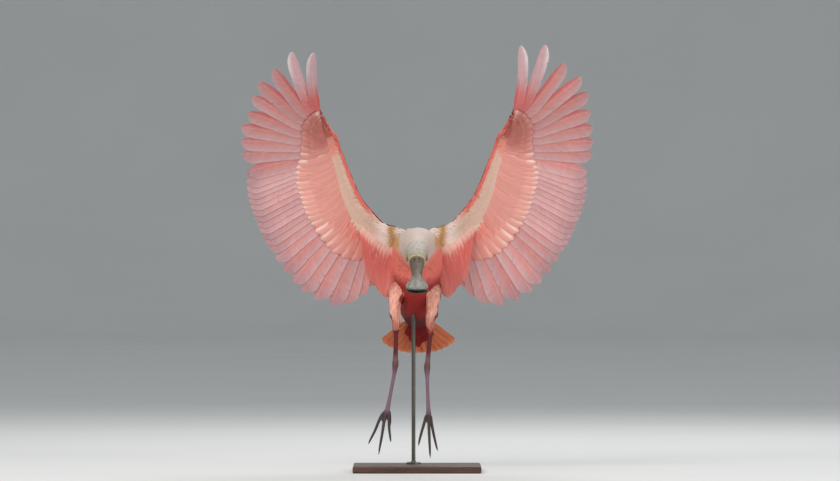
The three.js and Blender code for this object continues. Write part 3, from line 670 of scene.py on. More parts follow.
def eye_ball(side):
    """A ball whose front bulges a little into the cornea. It is laid out by the angle from its axis, and the
    disc map holds that angle and the turn about the axis."""
    tilt = np.linspace(0.02, np.pi - 0.02, 40)[:, None]
    turn = circle(48)[None]
    radius = EYE_RADIUS * (0.98 + 0.06 * bell(tilt, 0, 0.55))
    points = round_eye(np.sin(tilt) * radius, turn, np.cos(tilt) * radius - EYE_SUNK)
    disc = np.stack([tilt * np.cos(turn), tilt * np.sin(turn)], -1)
    return mirrored(points, side), disc


def red_eye():
    """Rings by the distance from the pupil's middle, which the eye's own map holds: pupil, iris with fine
    rays that is brighter near its rim, and a dark rim."""
    even = {"Roughness": 0.06, "Coat Weight": 1.0, "Coat Roughness": 0.02, "IOR": 1.38}
    material, start = new_finish("eye", even)
    place = start.node("UVMap", {"uv_map": "disc"})
    distance = start.node("VectorMath", {"operation": "LENGTH"}, {0: place}, out="Value")
    turn = start.maths("ARCTAN2", place.axis("Y"), place.axis("X"))
    streaks = start.noise(start.vector(turn * 7, distance * 2), 3.0, 3)
    iris = (streaks * 0.6 + distance * 0.5).colours(srgb(92, 14, 10), srgb(186, 46, 30))
    colour = distance.step(0.33, 0.38).colours(srgb(8, 5, 5), iris)
    colour = distance.step(0.78, 0.9).colours(colour, srgb(30, 10, 9))
    return feed(material, {"Base Color": colour})


eye_finish = red_eye()
for label, side in SIDES.items():
    ball, disc = eye_ball(side)
    eye = put(f"eye_{label}_ball", *tubes(ball[None]), [eye_finish], maps={"disc": disc.reshape(-1, 2)})
    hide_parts(f"eye_{label}")


# Bill: two long flat horn blades that widen to the spoon. The upper one has a groove near each edge, raised
# cross ridges and long nostrils at its root, and a small nail at its tip.

BILL_LENGTH = 160
# Each row: place along the bill, half width, thickness of the upper blade and of the lower one.
BILL_SHAPE = [
    [0, 17, 13, 11],
    [0.15, 15, 10.5, 9],
    [0.35, 11.8, 8, 6.5],
    [0.5, 10.2, 6, 4.8],
    [0.62, 14, 4.6, 3.8],
    [0.75, 21, 3.8, 3.2],
    [0.86, 25, 3.4, 3],
    [0.94, 22.5, 3.2, 2.8],
    [0.985, 14, 3, 2.6],
    [1, 6, 2.4, 2.2],
]
BILL_OPEN = math.radians(1.1)  # each blade is turned this much away from the closing plane
BILL_GAP = 0.18  # from the closing plane to each blade
BILL_START = 0.35  # how far ahead of the face the horn begins
NOSTRIL = {"x": 4.6, "at": 14, "length": 13, "wide": 1.0}


def bill_blade(sign):
    """One blade: rings of an arch, whose height is the thickness by the sine of its angle, closed by a
    hollowed flat face. Grooves, ridges, nostrils and the nail are heights over the arch."""
    at = (1 - (1 - np.linspace(0, 1, 150)) ** 1.25)[:, None]
    wide, top, low = np.moveaxis(along(BILL_SHAPE, at), -1, 0)
    thick = top if sign > 0 else low
    arch = np.linspace(0, np.pi, 41)[None]
    x = wide * np.cos(arch)
    share = np.abs(np.cos(arch))
    height = BILL_GAP + thick * (0.12 + 0.88 * np.sin(arch))
    spoon = ease(at, 0.55, 0.8)
    groove = bell(share, 0.8, 0.05) * ease(at, 0.04, 0.12) * (1 - ease(at, 0.93, 0.97))
    height -= (0.9 - 0.35 * spoon) * groove
    height -= spoon * 0.7 * (1 - ease(share, 0.2, 0.62))
    if sign > 0:
        mm = at * BILL_LENGTH
        waves = np.sin(mm * 1.15 + 2.2 * share**2) * 0.5 + np.sin(mm * 0.61 + 1.4) * 0.35
        height += waves * (1 - ease(at, 0.2, 0.5)) * (1 - ease(share, 0.55, 0.8)) * ease(at, 0.0, 0.03)
        slot = np.abs(np.abs(x) - NOSTRIL["x"] - 0.05 * (mm - NOSTRIL["at"]))
        inside = 1 - ease(np.abs(mm - NOSTRIL["at"]), NOSTRIL["length"] / 2 - 2, NOSTRIL["length"] / 2)
        height -= 3.2 * inside * (1 - ease(slot, 0.25, NOSTRIL["wide"]))
        height += 0.6 * inside * bell(slot, 1.8, 0.7)
        height += 0.9 * bell(x, 0, 4) * ease(at, 0.955, 0.985)
    across = np.linspace(-1, 1, 23)[None, 1:-1]
    hollow = BILL_GAP + 0.3 * thick * (1 - across**2)
    x = np.concatenate([x, wide * 0.96 * across], axis=1)[..., None]
    rise = np.concatenate([height, hollow], axis=1)[..., None] * sign
    far = at[..., None] * BILL_LENGTH
    cos, sin = math.cos(BILL_OPEN), sign * math.sin(BILL_OPEN)
    points = BILL_ROOT + np.array([1, 0, 0]) * x
    points = points + BILL_WAY * (far * cos - rise * sin + BILL_START) + BILL_UP * (rise * cos + far * sin)
    share = np.concatenate([share, np.abs(across)], axis=1)
    return points, *np.broadcast_arrays(at, share)


def bill_colour(at, share, sign):
    """Grey green horn, pale and mottled on the spoon, with a yellowish root. The grooves and the hollows
    about the nostrils are darker, as painted shade; the rim and the nail are darker, partly their own horn
    and partly painted shade, and the lower spoon is darkened as painted shadow under the upper one."""
    colour = np.broadcast_to(srgb(88, 74, 62), (*at.shape, 3))
    colour = mixed(colour, ease(at, 0.45, 0.75), srgb(128, 126, 119))
    colour = mixed(colour, (1 - ease(at, 0.0, 0.04)) * 0.8, srgb(172, 150, 104))
    # Painted shade: the grooves near the edges and the hollows about the nostrils are darkened.
    colour = mixed(colour, bell(share, 0.8, 0.06) * 0.7 * ease(at, 0.03, 0.1), srgb(40, 37, 34))
    colour = mixed(colour, bell(share, 0.4, 0.1) * 0.6 * (1 - ease(at, 0.12, 0.3)), srgb(44, 40, 36))
    # The rim and the nail are darkened, partly the horn's own dark and partly painted shade; the lower spoon
    # is darkened as painted shadow under the upper one.
    colour = mixed(colour, ease(share, 0.9, 0.99) * 0.55, srgb(64, 56, 48))
    dark = ease(at, 0.955, 0.99) if sign > 0 else ease(at, 0.5, 0.8)  # the nail, or the lower spoon
    return mixed(colour, dark * 0.9, srgb(34, 25, 20))


def bill_horn():
    """Growth lines across the bill, cloudy mottles in two sizes and small dark flecks on the tint."""
    even = {"Coat Weight": 0.06, "Coat Roughness": 0.4, "Specular IOR Level": 0.35}
    material, start = new_finish("bill_horn", even)
    place = start.place()
    clouds = start.noise(start.stretched(place, (1, 0.5, 0.6)), 120, 5, 0.65).step(0.42, 0.6)
    flecks = start.noise(place, 380, 3, 0.6).step(0.56, 0.64)
    lines = start.noise(start.stretched(place, (40, 420, 160)), 1.0, 3)
    colour = (clouds * 0.55).colours(start.tint(), srgb(72, 68, 56))
    colour = (flecks * 0.6).colours(colour, srgb(38, 33, 28))
    colour = (lines * 0.1).colours(colour, srgb(186, 184, 150))
    rough = lines * 0.15 + clouds * 0.1 + 0.5
    height = lines - flecks * 0.5 - clouds * 0.4
    return feed(material, {"Base Color": colour, "Roughness": rough, "Normal": height.bump(0.0004, 0.6)})


horn = bill_horn()
for sign, node in ((1, "bill_upper"), (-1, "bill_lower")):
    blade, at, share = bill_blade(sign)
    tint = bill_colour(at, share, sign).reshape(-1, 3)
    piece = put(f"{node}_blade", *tubes(blade[None]), [horn], tint=tint, crease=75)
    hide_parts(node)


# Flight feathers: ten primaries, sixteen secondaries and seven tertials on each wing. Each is a stiff
# shaft with a vane of barbs to both sides, rooted in the rear of the fleshy wing, over its neighbour.

# Each row: station of a feather's root, its angle from straight up and its length in steps, from the front.
FAN = [
    [0.9, 185.8, 60.8],
    [1.25, 179, 42],
    [1.6, 173, 60.4],
    [2, 168.7, 76.8],
    [2.4, 164.5, 89.9],
    [2.8, 155, 94.8],
    [3.2, 146, 96.4],
    [3.9, 127.4, 94.9],
    [4.8, 119.5, 96.4],
    [5.6, 114, 95.8],
    [6.05, 110.5, 92.9],
    [6.4, 105.7, 88.5],
    [6.65, 96.1, 89.6],
    [6.9, 89.5, 88.7],
    [7.15, 81.8, 87.4],
    [7.45, 73.3, 83.2],
    [7.75, 62.7, 83.2],
    [8.05, 53, 82],
    [8.3, 40, 76.9],
    [8.55, 22.9, 78.8],
    [8.8, 6.2, 69],
]
# Each row: station, a flight feather's width there, its bow to the wing's upper side as a share of its
# length, a covert's width, and the flight feather's bow to its rear.
VANES = [
    [0.9, 29, 0.02, 34, 0],
    [1.5, 38, 0.02, 40, 0],
    [2.8, 46, 0.02, 50, 0],
    [3.9, 34, 0.015, 40, 0],
    [5.6, 29, 0.01, 34, 0],
    [6.4, 38, 0, 38, 0],
    [7.45, 40, -0.015, 43, 0],
    [8.05, 35, -0.03, 41, 0.01],
    [8.55, 26, -0.035, 36, 0.035],
    [8.8, 24, -0.035, 30, 0.05],
]
ARM_UP = np.array([0.1, 0.95, 0.28])  # which way the arm wing's upper side looks
HAND_UP = np.array([0.16, 0.708, 0.668])  # and the hand wing's, which is swung forward
HAND_TURN = 0.05  # the bird's left hand is turned this much more to the front, its right one less
LAYER = 1.5  # how far neighbouring feathers lie over one another
ROOT_CHORD = 0.48  # share of the fleshy wing's chord where the flight feathers are rooted
SHAFT = 1.25  # half width of a shaft at its root
PRIMARIES = np.array([row[0] for row in FAN[-10:]])
SECONDARIES = np.linspace(3.12, 6.16, 16)
TERTIALS = np.array([0.9, 1.22, 1.55, 1.88, 2.2, 2.52, 2.83])
LEAD_SHARE = 0.36  # share of a vane's width before its shaft
SLANT = 0.55  # how far a barb runs forward for each millimetre aside
DEEPEST_NOTCH = 0.22  # share of the rear vane's width where barbs have parted
# Shares of the length up to which a vane widens, and from which it closes to its tip.
PRIMARY_OUTLINE = (0.3, 0.76)
SECONDARY_OUTLINE = (0.3, 0.85)
TERTIAL_OUTLINE = (0.32, 0.72)
chance = np.random.default_rng(11)


def flight_line(side, station):
    """The middle line of a flight feather rooted at a station: from its root to its tip, and how it bends
    between, with the way out of the fan's upper side."""
    angle, steps = np.moveaxis(along(FAN, station), -1, 0)
    bow, sweep = np.moveaxis(along(VANES, station)[..., [1, 3]], -1, 0)
    hand = ease(station, 7.1, 7.8)
    up = ARM_UP + (HAND_UP - ARM_UP) * ease(station, 4.8, 8.4)[..., None]
    up[..., 2] *= 1 - 2 * side * HAND_TURN * hand
    angle = np.radians(angle)
    flat_x, flat_z = np.sin(angle), np.cos(angle)
    way = np.stack([flat_x, -(up[..., 0] * flat_x + up[..., 2] * flat_z) / up[..., 1], flat_z], -1)
    up = unit(up)
    root = on_wing(station, ROOT_CHORD, 0)
    tip = root + way * (steps * STEP * (1 + side * HAND_TURN * hand))[..., None]
    bend = up * bow[..., None] - unit(np.cross(way, up)) * sweep[..., None]
    return root, tip, bend, up


def line_at(line, mm):
    """A place on a middle line: straight from root to tip, plus the bend as a parabola."""
    root, tip, bend, _ = line
    length = np.linalg.norm(tip - root, axis=-1, keepdims=True)
    share = mm[..., None] / length
    return root + (tip - root) * share + bend * (4 * share * (1 - share) * length)


def row_place(line_of, station, mm):
    """A place on the surface that a row of feathers lies in. It runs on straight past the row's ends."""
    inside = np.clip(station, FAN[0][0], FAN[-1][0])
    near = inside + np.where(inside < 4, 0.05, -0.05)
    point = line_at(line_of(inside), mm)
    drift = (line_at(line_of(near), mm) - point) / (near - inside)[..., None]
    return point + drift * (station - inside)[..., None]


def row_surface(line_of, station, mm):
    """The place on a row's surface with its ways along the feather and out of it, and how far apart the
    feathers lie there for each station."""
    across = (row_place(line_of, station + 0.03, mm) - row_place(line_of, station - 0.03, mm)) / 0.06
    way = unit(row_place(line_of, station, mm + 1) - row_place(line_of, station, mm - 1))
    up = unit(np.cross(across, way))
    return row_place(line_of, station, mm), way, up, dot(across, np.cross(way, up))


def in_row(line_of, station, spacing, mm, aside, layer):
    """Places of feathers' points, given along the shaft and aside from it, on the row's surface: four steps
    find the station and distance that lie there. A feather rises a layer over its neighbour outwards."""
    middle, way, up, apart = row_surface(line_of, station, mm)
    lead = np.cross(way, up)
    there, far = station + aside / apart, mm + 0 * aside
    for _ in range(4):
        offset = row_place(line_of, there, far) - middle
        there = there + (aside - dot(offset, lead)) / apart
        far = far - dot(offset, way)
    point, _, up, _ = row_surface(line_of, there, far)
    return point + up * (layer * (there - station) / spacing)[..., None], up


def vane_width(share, outline):
    """A vane's width against its widest: a smooth rise from the bare quill, and an ellipse's end."""
    wide, closing = outline
    tip = np.clip((share - closing) / (1 - closing), 0, 0.997)
    return (0.1 + 0.9 * ease(share, 0.04, wide)) * np.sqrt(1 - tip**2)


def ring_of(top, low):
    """A flat ring: across the upper side and back along the under one, which meets it at both edges."""
    return np.concatenate([top, low[:, :, -2:0:-1]], axis=2)


def long_vanes(place_of, length, outline, widths, rows, half=0.3, splits=2, lead_share=LEAD_SHARE):
    """Long feathers, each a closed flat ring carried along its shaft. Rows of points slant forward to the
    edges as the barbs do, and a few barbs have parted, as notches in the rear edge."""
    count = len(length)
    share = np.tile(1 - (1 - np.linspace(0, 1, rows)) ** 1.5, (count, 1))
    places = chance.uniform(0.42, 0.9, (count, max(splits, 1)))
    if splits:
        near = np.concatenate([places - 0.006, places, places + 0.012], 1)
        share = np.sort(np.concatenate([share, near], 1), 1)
    share = share[..., None]
    full = vane_width(share, outline) * widths[:, None, None]
    gap = np.abs(share - places[:, None, :]).min(-1, keepdims=True)
    depth = chance.uniform(0.0, DEEPEST_NOTCH, (count, 1, 1)) if splits else 0
    notch = depth * bell(gap, 0, 0.004)
    quill = np.minimum(SHAFT, 0.05 * widths)[:, None, None] * (1.05 - 0.85 * share)
    rear, front = (1 - lead_share) * full * (1 - notch), lead_share * full
    aside = [-rear, -rear * 0.7, -rear * 0.38, -quill, 0 * quill, quill, front * 0.66, front]
    aside = np.sort(np.concatenate(aside, -1), -1)
    slant = SLANT * np.minimum(1, (1 - share) / 0.16) * ease(share, 0.02, 0.2)
    mm = share * length[:, None, None] + np.abs(aside) * slant
    place, up = place_of(mm, aside)
    ridge = bell(aside, 0, quill * 0.8) * quill * 0.55
    body = half * (1 - 0.4 * share) * np.ones_like(aside)
    camber = 0.9 * (aside / (full + 4)) ** 2 * np.minimum(1, share * 6)
    top = place + up * (body + ridge - camber)[..., None]
    low = place - up * (body + ridge * 0.7 + camber)[..., None]
    web = aside / np.maximum(full, 1)
    rings = [ring_of(each, each) for each in (share + 0 * aside, aside, web, mm)]
    return dict(zip(("share", "aside", "web", "mm"), rings), ring=ring_of(top, low))


def row_vanes(line_of, stations, outline, widths, rows, layer=LAYER, **more):
    """The feathers of one row, which follow the surface that they lie in together."""
    spacing = (stations[-1] - stations[0]) / (len(stations) - 1)
    root, tip, _, _ = line_of(stations)
    station = stations[:, None, None]

    def place_of(mm, aside):
        return in_row(line_of, station + 0 * aside, spacing, mm, aside, layer)

    vanes = long_vanes(place_of, np.linalg.norm(tip - root, axis=-1), outline, widths, rows, **more)
    return vanes | {"station": stations}


def flight_colour(vanes):
    """A flight feather's colours: rose at its root, mauve grey rear web, darker leading web on the primaries,
    whitish tip, and the outermost ones pale grey to white beyond their middle."""
    share, web = vanes["share"], vanes["web"]
    station = vanes["station"][:, None, None] + 0 * share
    hand = ease(station, 6.1, 7.2)
    outermost = ease(station, 8.35, 8.6)
    colour = np.broadcast_to(srgb(212, 140, 134), (*share.shape, 3))
    colour = mixed(colour, ease(-web, 0.05, 0.5) * 0.8, srgb(198, 160, 162))
    colour = mixed(colour, ease(-web, 0.5, 0.62) * 0.4, srgb(214, 184, 182))
    colour = mixed(colour, ease(web, 0.06, 0.3) * (0.25 + 0.6 * hand), srgb(196, 92, 96))
    colour = mixed(colour, ease(share, 0.7, 1.0) * (0.8 - 0.5 * hand), srgb(170, 136, 140))
    colour = mixed(colour, outermost * (1 - ease(share, 0.3, 0.6)) * 0.7, srgb(212, 98, 96))
    colour = mixed(colour, outermost * ease(share, 0.35, 0.65), srgb(202, 164, 168))
    white = outermost * ease(share, 0.55, 0.85) * ease(-web, 0.15, 0.5)
    colour = mixed(colour, white * 0.8, srgb(226, 214, 215))
    return mixed(colour, (1 - ease(station, 1.2, 2.6)) * 0.8, srgb(214, 132, 124))


def plumage(name, barb=1.0, shaft=0.5, deep=0.7):
    """Barbs run out and forward from the shaft: fine lines and longer streaks by the distance along, less a
    share of the distance aside. The vane map holds both, in decimetres, and the tint's alpha the lot."""
    even = {"Sheen Weight": 0.02, "Sheen Roughness": 0.5, "Specular IOR Level": 0.2}
    material, start = new_finish(name, even)
    place = start.node("UVMap", {"uv_map": "vane"})
    aside = start.maths("ABSOLUTE", place.axis("X"))
    tint = start.tint()
    lot = start.tint("Alpha")
    phase = place.axis("Y") - aside * 0.7
    lines = start.maths("SINE", phase * 520) * 0.5 + 0.5
    streaks = start.noise(start.vector(phase * 60, aside * 7, lot * 40), 1.0, 4, 0.6)
    patches = start.noise(start.vector(phase * 9, aside * 4, lot * 70), 1.0, 2)
    ridge = 1 - aside.step(0.004, 0.011)
    shade = (streaks * 0.45 + lines * 0.15 + patches * 0.4 + lot * 0.12).step(0.2, 0.95)
    darker = ((1 - shade) * (0.45 * deep)).colours(tint, tint, "MULTIPLY")
    lighter = (shade * (0.25 * deep)).colours(darker, tint, "SCREEN")
    colour = (ridge * shaft).colours(lighter, lighter, "SCREEN")
    height = lines * 0.5 + streaks * 0.8 + ridge
    rough = streaks * 0.2 + 0.55
    normal = height.bump(0.0004, 0.35 * barb)
    return feed(material, {"Base Color": colour, "Roughness": rough, "Normal": normal})


def feather_part(vanes, side, tone, spread, bake):
    """A set of feathers as a part to be joined. Each one's tone varies by chance within the spread, and its
    alpha is its lot, by which the plumage's streaks differ from feather to feather."""
    ring = vanes["ring"]
    count = len(ring)
    lot = np.broadcast_to(chance.random((count, 1, 1, 1)), (*ring.shape[:3], 1))
    tone = tone * (1 - spread / 2 + spread * chance.random((count, 1, 1, 1)))
    tint = np.concatenate([np.broadcast_to(tone, ring.shape), lot], -1)
    vane = np.stack([vanes["aside"], vanes["mm"]], -1) / 100
    return *tubes(mirrored(ring, side)), tint.reshape(-1, 4), vane.reshape(-1, 2), bake.reshape(-1, 2)


def put_feathers(name, parts, material):
    """Parts of feathers as one piece, with the vane map and the bake's map."""
    points, quads, threes, tint, vane, bake = joined(parts)
    return put(name, points, quads, threes, [material], maps={"vane": vane, "OFBake": bake}, tint=tint)


def finish_vanes(name, sets, side, material, colour_of):
    """Joins rows of long feathers to one piece. On the bake's map each feather has a strip of its own."""
    total = sum(len(vanes["ring"]) for vanes in sets)
    before = 0
    parts = []
    for vanes in sets:
        number = before + np.arange(len(vanes["ring"]))[:, None, None]
        strip = number + 0.5 + 0.8 * vanes["web"]
        bake = np.stack([strip / total, 0.01 + 0.98 * vanes["share"]], -1)
        parts.append(feather_part(vanes, side, colour_of(vanes), 0.14, bake))
        before += len(vanes["ring"])
    return put_feathers(name, parts, material)


flight_finish = plumage("flight_feathers", barb=0.7, shaft=0.3, deep=0.8)
for label, side in SIDES.items():
    line_of = partial(flight_line, side)
    sets = []
    for stations, outline, wide, rows in (
        (TERTIALS, TERTIAL_OUTLINE, 0.98, 34),
        (SECONDARIES, SECONDARY_OUTLINE, 0.92, 40),
        (PRIMARIES, PRIMARY_OUTLINE, 1.0, 44),
    ):
        sets.append(row_vanes(line_of, stations, outline, along(VANES, stations)[..., 0] * wide, rows))
    piece = finish_vanes(f"flight_feathers_{label}", sets, side, flight_finish, flight_colour)


# Wing coverts: rows of shorter vanes that lie over the flight feathers' bases, above and below. Each row is
# rooted nearer the leading edge than the one that it covers.

COVERT_OUTLINE = (0.24, 0.6)
# Upper is the wing's side, chord the root's share of the flesh, lift how far the tip stands off the flight
# feathers, wide the share of the width in VANES, and reach the share of the flight feather by station.
COVERT_ROWS = [
    {
        "upper": 1, "chord": 0.6, "lift": 3.4, "wide": 0.8,
        "reach": [[0.9, 0.46], [5.6, 0.46], [7, 0.38], [8.8, 0.36]],
    },
    {
        "upper": 1, "chord": 0.42, "lift": 4.6, "wide": 0.66,
        "reach": [[0.9, 0.27], [5.6, 0.27], [7, 0.22], [8.8, 0.2]],
    },
    {
        "upper": -1, "chord": 0.7, "lift": 2.6, "wide": 0.66,
        "reach": [[0.9, 0.46], [5.6, 0.47], [7, 0.31], [8, 0.27], [8.8, 0.17]],
    },
    {
        "upper": -1, "chord": 0.6, "lift": 3.4, "wide": 0.6,
        "reach": [[0.9, 0.34], [5.6, 0.36], [7, 0.22], [8, 0.18], [8.8, 0.1]],
    },
    {
        "upper": -1, "chord": 0.5, "lift": 4.2, "wide": 0.54,
        "reach": [[0.9, 0.24], [5.6, 0.25], [7, 0.15], [8, 0.12], [8.8, 0.06]],
    },
]
COVERT_LAYER = 1.1
GREATER = 0.62  # rows wider than this share are the greater coverts; the finer ones below are doubled


def covert_line(side, station, row):
    """A covert's middle line: from inside the flesh to a place that stands off the flight feather."""
    flight = flight_line(side, station)
    length = np.linalg.norm(flight[1] - flight[0], axis=-1)
    reach = along(row["reach"], np.clip(station, 0.9, 8.8))[..., 0]
    up = flight[3]
    tip = line_at(flight, reach * length) + up * (row["upper"] * row["lift"])
    root = on_wing(station, row["chord"], row["upper"] * 0.7)
    return root, tip, up * (row["upper"] * 0.015), up


def covert_colour(vanes):
    """Coverts: under the wing pale rose with cream wedges along the greater ones' shafts, redder at the
    elbow, and on the hand a browner rose that is partly their own deeper rose and partly painted shade, as
    the hand's underside faces down; above it pink, paler along the shaft and at the tip."""
    share, web, row = vanes["share"], vanes["web"], vanes["row"]
    station = vanes["station"][:, None, None] + 0 * share
    if row["upper"] > 0:
        colour = np.broadcast_to(srgb(214, 128, 124), (*share.shape, 3))
        colour = mixed(colour, (1 - ease(np.abs(web), 0.03, 0.14)) * 0.4, srgb(238, 190, 180))
        return mixed(colour, ease(share, 0.75, 1) * 0.4, srgb(222, 168, 162))
    colour = np.broadcast_to(srgb(215, 147, 136), (*share.shape, 3))
    greater = 1.0 if row["wide"] > GREATER else 0.45
    wedge = ease(share, 0.3, 0.7) * (1 - ease(np.abs(web), 0.04, 0.32)) * greater
    colour = mixed(colour, wedge, srgb(244, 214, 200))
    colour = mixed(colour, ease(share, 0.82, 1) * 0.6, srgb(208, 158, 152))
    elbow = bell(station, 2.4, 0.8) * (1.1 - 0.7 * greater)
    colour = mixed(colour, elbow, srgb(230, 114, 101))
    # Partly painted shade: the hand's under coverts turn a darker brown rose, as the hand's underside faces
    # down and forward, away from the light.
    hand = ease(station, 6.2, 7.2) * (0.95 - 0.2 * greater - 0.7 * ease(share, 0.5, 1))
    return mixed(colour, hand, srgb(184, 108, 99))


covert_finish = plumage("covert_feathers", barb=0.5, shaft=0.1, deep=0.35)
for label, side in SIDES.items():
    sets = []
    for row in COVERT_ROWS:
        line_of = partial(covert_line, side, row=row)
        for stations in (TERTIALS + 0.14, SECONDARIES + 0.09, PRIMARIES[:-1] + 0.12):
            finer = row["upper"] < 0 and row["wide"] < GREATER
            if finer:
                number = np.arange(len(stations))
                stations = np.interp(np.arange(0, len(stations) - 0.9, 0.5), number, stations)
            widths = along(VANES, stations)[..., 2] * row["wide"] * (0.66 if finer else 1)
            how = {"layer": COVERT_LAYER, "half": 0.2, "splits": 0}
            vanes = row_vanes(line_of, stations, COVERT_OUTLINE, widths, 14, **how)
            sets.append(vanes | {"row": row})
    piece = finish_vanes(f"coverts_{label}", sets, side, covert_finish, covert_colour)


# Alula, axillaries and scapulars: four stiff little feathers along the thumb, and two soft sheaves of long
# ones that close the gap between wing and flank, one hung from the armpit and one laid over the shoulder.

AXILLARY_OUTLINE = (0.16, 0.45)
# Each row: station of an axillary's root, its tip (out, down) in steps, and the tip's depth.
AXILLARIES = [
    [-0.5, 26, 284, 20],
    [0.2, 30, 297, 17],
    [0.8, 36, 294, 16],
    [1.4, 43, 284, 16],
    [2.1, 50, 278, 16],
]


def free_vanes(root, tip, up, bow, outline, widths, rows, **more):
    """Feathers on middle lines of their own, each flat across and bowed to its upper side."""
    way = unit(tip - root)
    up = unit(up - way * dot(up, way)[:, None])
    lead = np.cross(way, up)
    line = [each[:, None, None] for each in (root, tip, up * bow, up)]

    def place_of(mm, aside):
        place = line_at(line, mm) + lead[:, None, None] * aside[..., None]
        return place, np.broadcast_to(up[:, None, None], place.shape)

    return long_vanes(place_of, np.linalg.norm(tip - root, axis=-1), outline, widths, rows, **more)


def alula():
    """Roots near the wrist's front, tips along the hand's leading edge, each over the next."""
    k = np.arange(4.0)
    up = np.repeat(wing_up(np.array([7.6])), 4, axis=0)
    root = on_wing(6.1 + 0.15 * k, 0.16, 0.2)
    tip = on_wing(8.35 - 0.34 * k, 0.03, 1) + up * (1.4 + 1.2 * k)[:, None]
    return free_vanes(root, tip, up, 0.03, COVERT_OUTLINE, 13 + 0 * k, 20, half=0.35, splits=0)


def axillaries(station, shorter, ahead):
    """Roots along the armpit's rear, tips along the tongue's edge; the upper layer is shorter."""
    out, down, y = np.moveaxis(along(AXILLARIES, station), -1, 0)
    root = on_wing(station, 0.62 - 0.15 * shorter, -1, -1.5)
    tip = np.stack([out * STEP, y - ahead, TOE_RISE + (STEPS_DOWN - down) * STEP], -1)
    tip = root + (tip - root) * (1 - shorter)
    up = np.array([0.15, 0.98, 0.1]) + 0 * root
    return free_vanes(root, tip, up, -0.05, AXILLARY_OUTLINE, 16 + 0 * station, 20, splits=0, lead_share=0.5)


def scapulars(across, shorter):
    """Roots over the shoulder from its middle outwards, tips down the flank; the upper layer is shorter."""
    flat = across[:, None]
    root = np.array([21, 22, 547]) + np.array([54, 9, -25]) * flat
    tip = np.array([46, 59, 426]) + np.array([54, -8, 28]) * flat
    root[:, 1] += 6 * shorter
    tip = root + (tip - root) * (1 - shorter)
    up = np.array([0.22, 0.93, 0.3]) + 0 * root
    return free_vanes(root, tip, up, 0.04, COVERT_OUTLINE, 15 + 0 * across, 20, splits=0, lead_share=0.5)


def joint_colour(vanes):
    """Bright salmon on the thumb, deeper in the armpit with paler tips, whitish to pink on the shoulder."""
    share = vanes["share"]
    if vanes["group"] == "thumb":
        colour = np.broadcast_to(srgb(216, 126, 110), (*share.shape, 3))
        return mixed(colour, ease(vanes["web"], 0.0, 0.4), srgb(224, 150, 130))
    if vanes["group"] == "shoulder":
        colour = np.broadcast_to(srgb(224, 192, 184), (*share.shape, 3))
        return mixed(colour, ease(share, 0.3, 0.95), srgb(212, 132, 128))
    colour = np.broadcast_to(srgb(202, 98, 90), (*share.shape, 3))
    colour = mixed(colour, (1 - ease(np.abs(vanes["web"]), 0.02, 0.35)) * 0.3, srgb(222, 136, 122))
    colour = mixed(colour, (1 - ease(share, 0.12, 0.46)) * 0.95, srgb(220, 172, 158))
    return mixed(colour, ease(share, 0.5, 1) * 0.6, srgb(210, 130, 120))


for label, side in SIDES.items():
    sets = [alula() | {"group": "thumb"}]
    for number, shorter in enumerate((0.0, 0.2, 0.42)):
        sets.append(scapulars(np.linspace(0, 1, 14 - number), shorter) | {"group": "shoulder"})
    for number, (shorter, ahead) in enumerate(((0.0, 0), (0.1, 2), (0.22, 4), (0.36, 6), (0.52, 8))):
        station = np.linspace(-0.45, 1.95, 16 - number) + 0.05 * number
        station = station + chance.normal(0, 0.03, len(station))
        sets.append(axillaries(station, shorter, ahead) | {"group": "armpit"})
    piece = finish_vanes(f"wing_joint_feathers_{label}", sets, side, covert_finish, joint_colour)


# Body feathers: thousands of small soft vanes over trunk, neck, thighs and fleshy wings. Each is rooted in
# the skin, lies towards the tail or the wing's rear edge, and covers the roots of the next.

SOFT_OUTLINE = np.array([0.35, 0.88, 1.0, 0.78, 0.16])  # shares of the width, from root to tip
SOFT_ROWS = np.array([0.0, 0.3, 0.6, 0.86, 1.0])  # the shares of the length where they are
SOFT_THICK = 0.18  # half thickness along the middle
PATCH = 0.0028  # a small feather's size on the bake's map


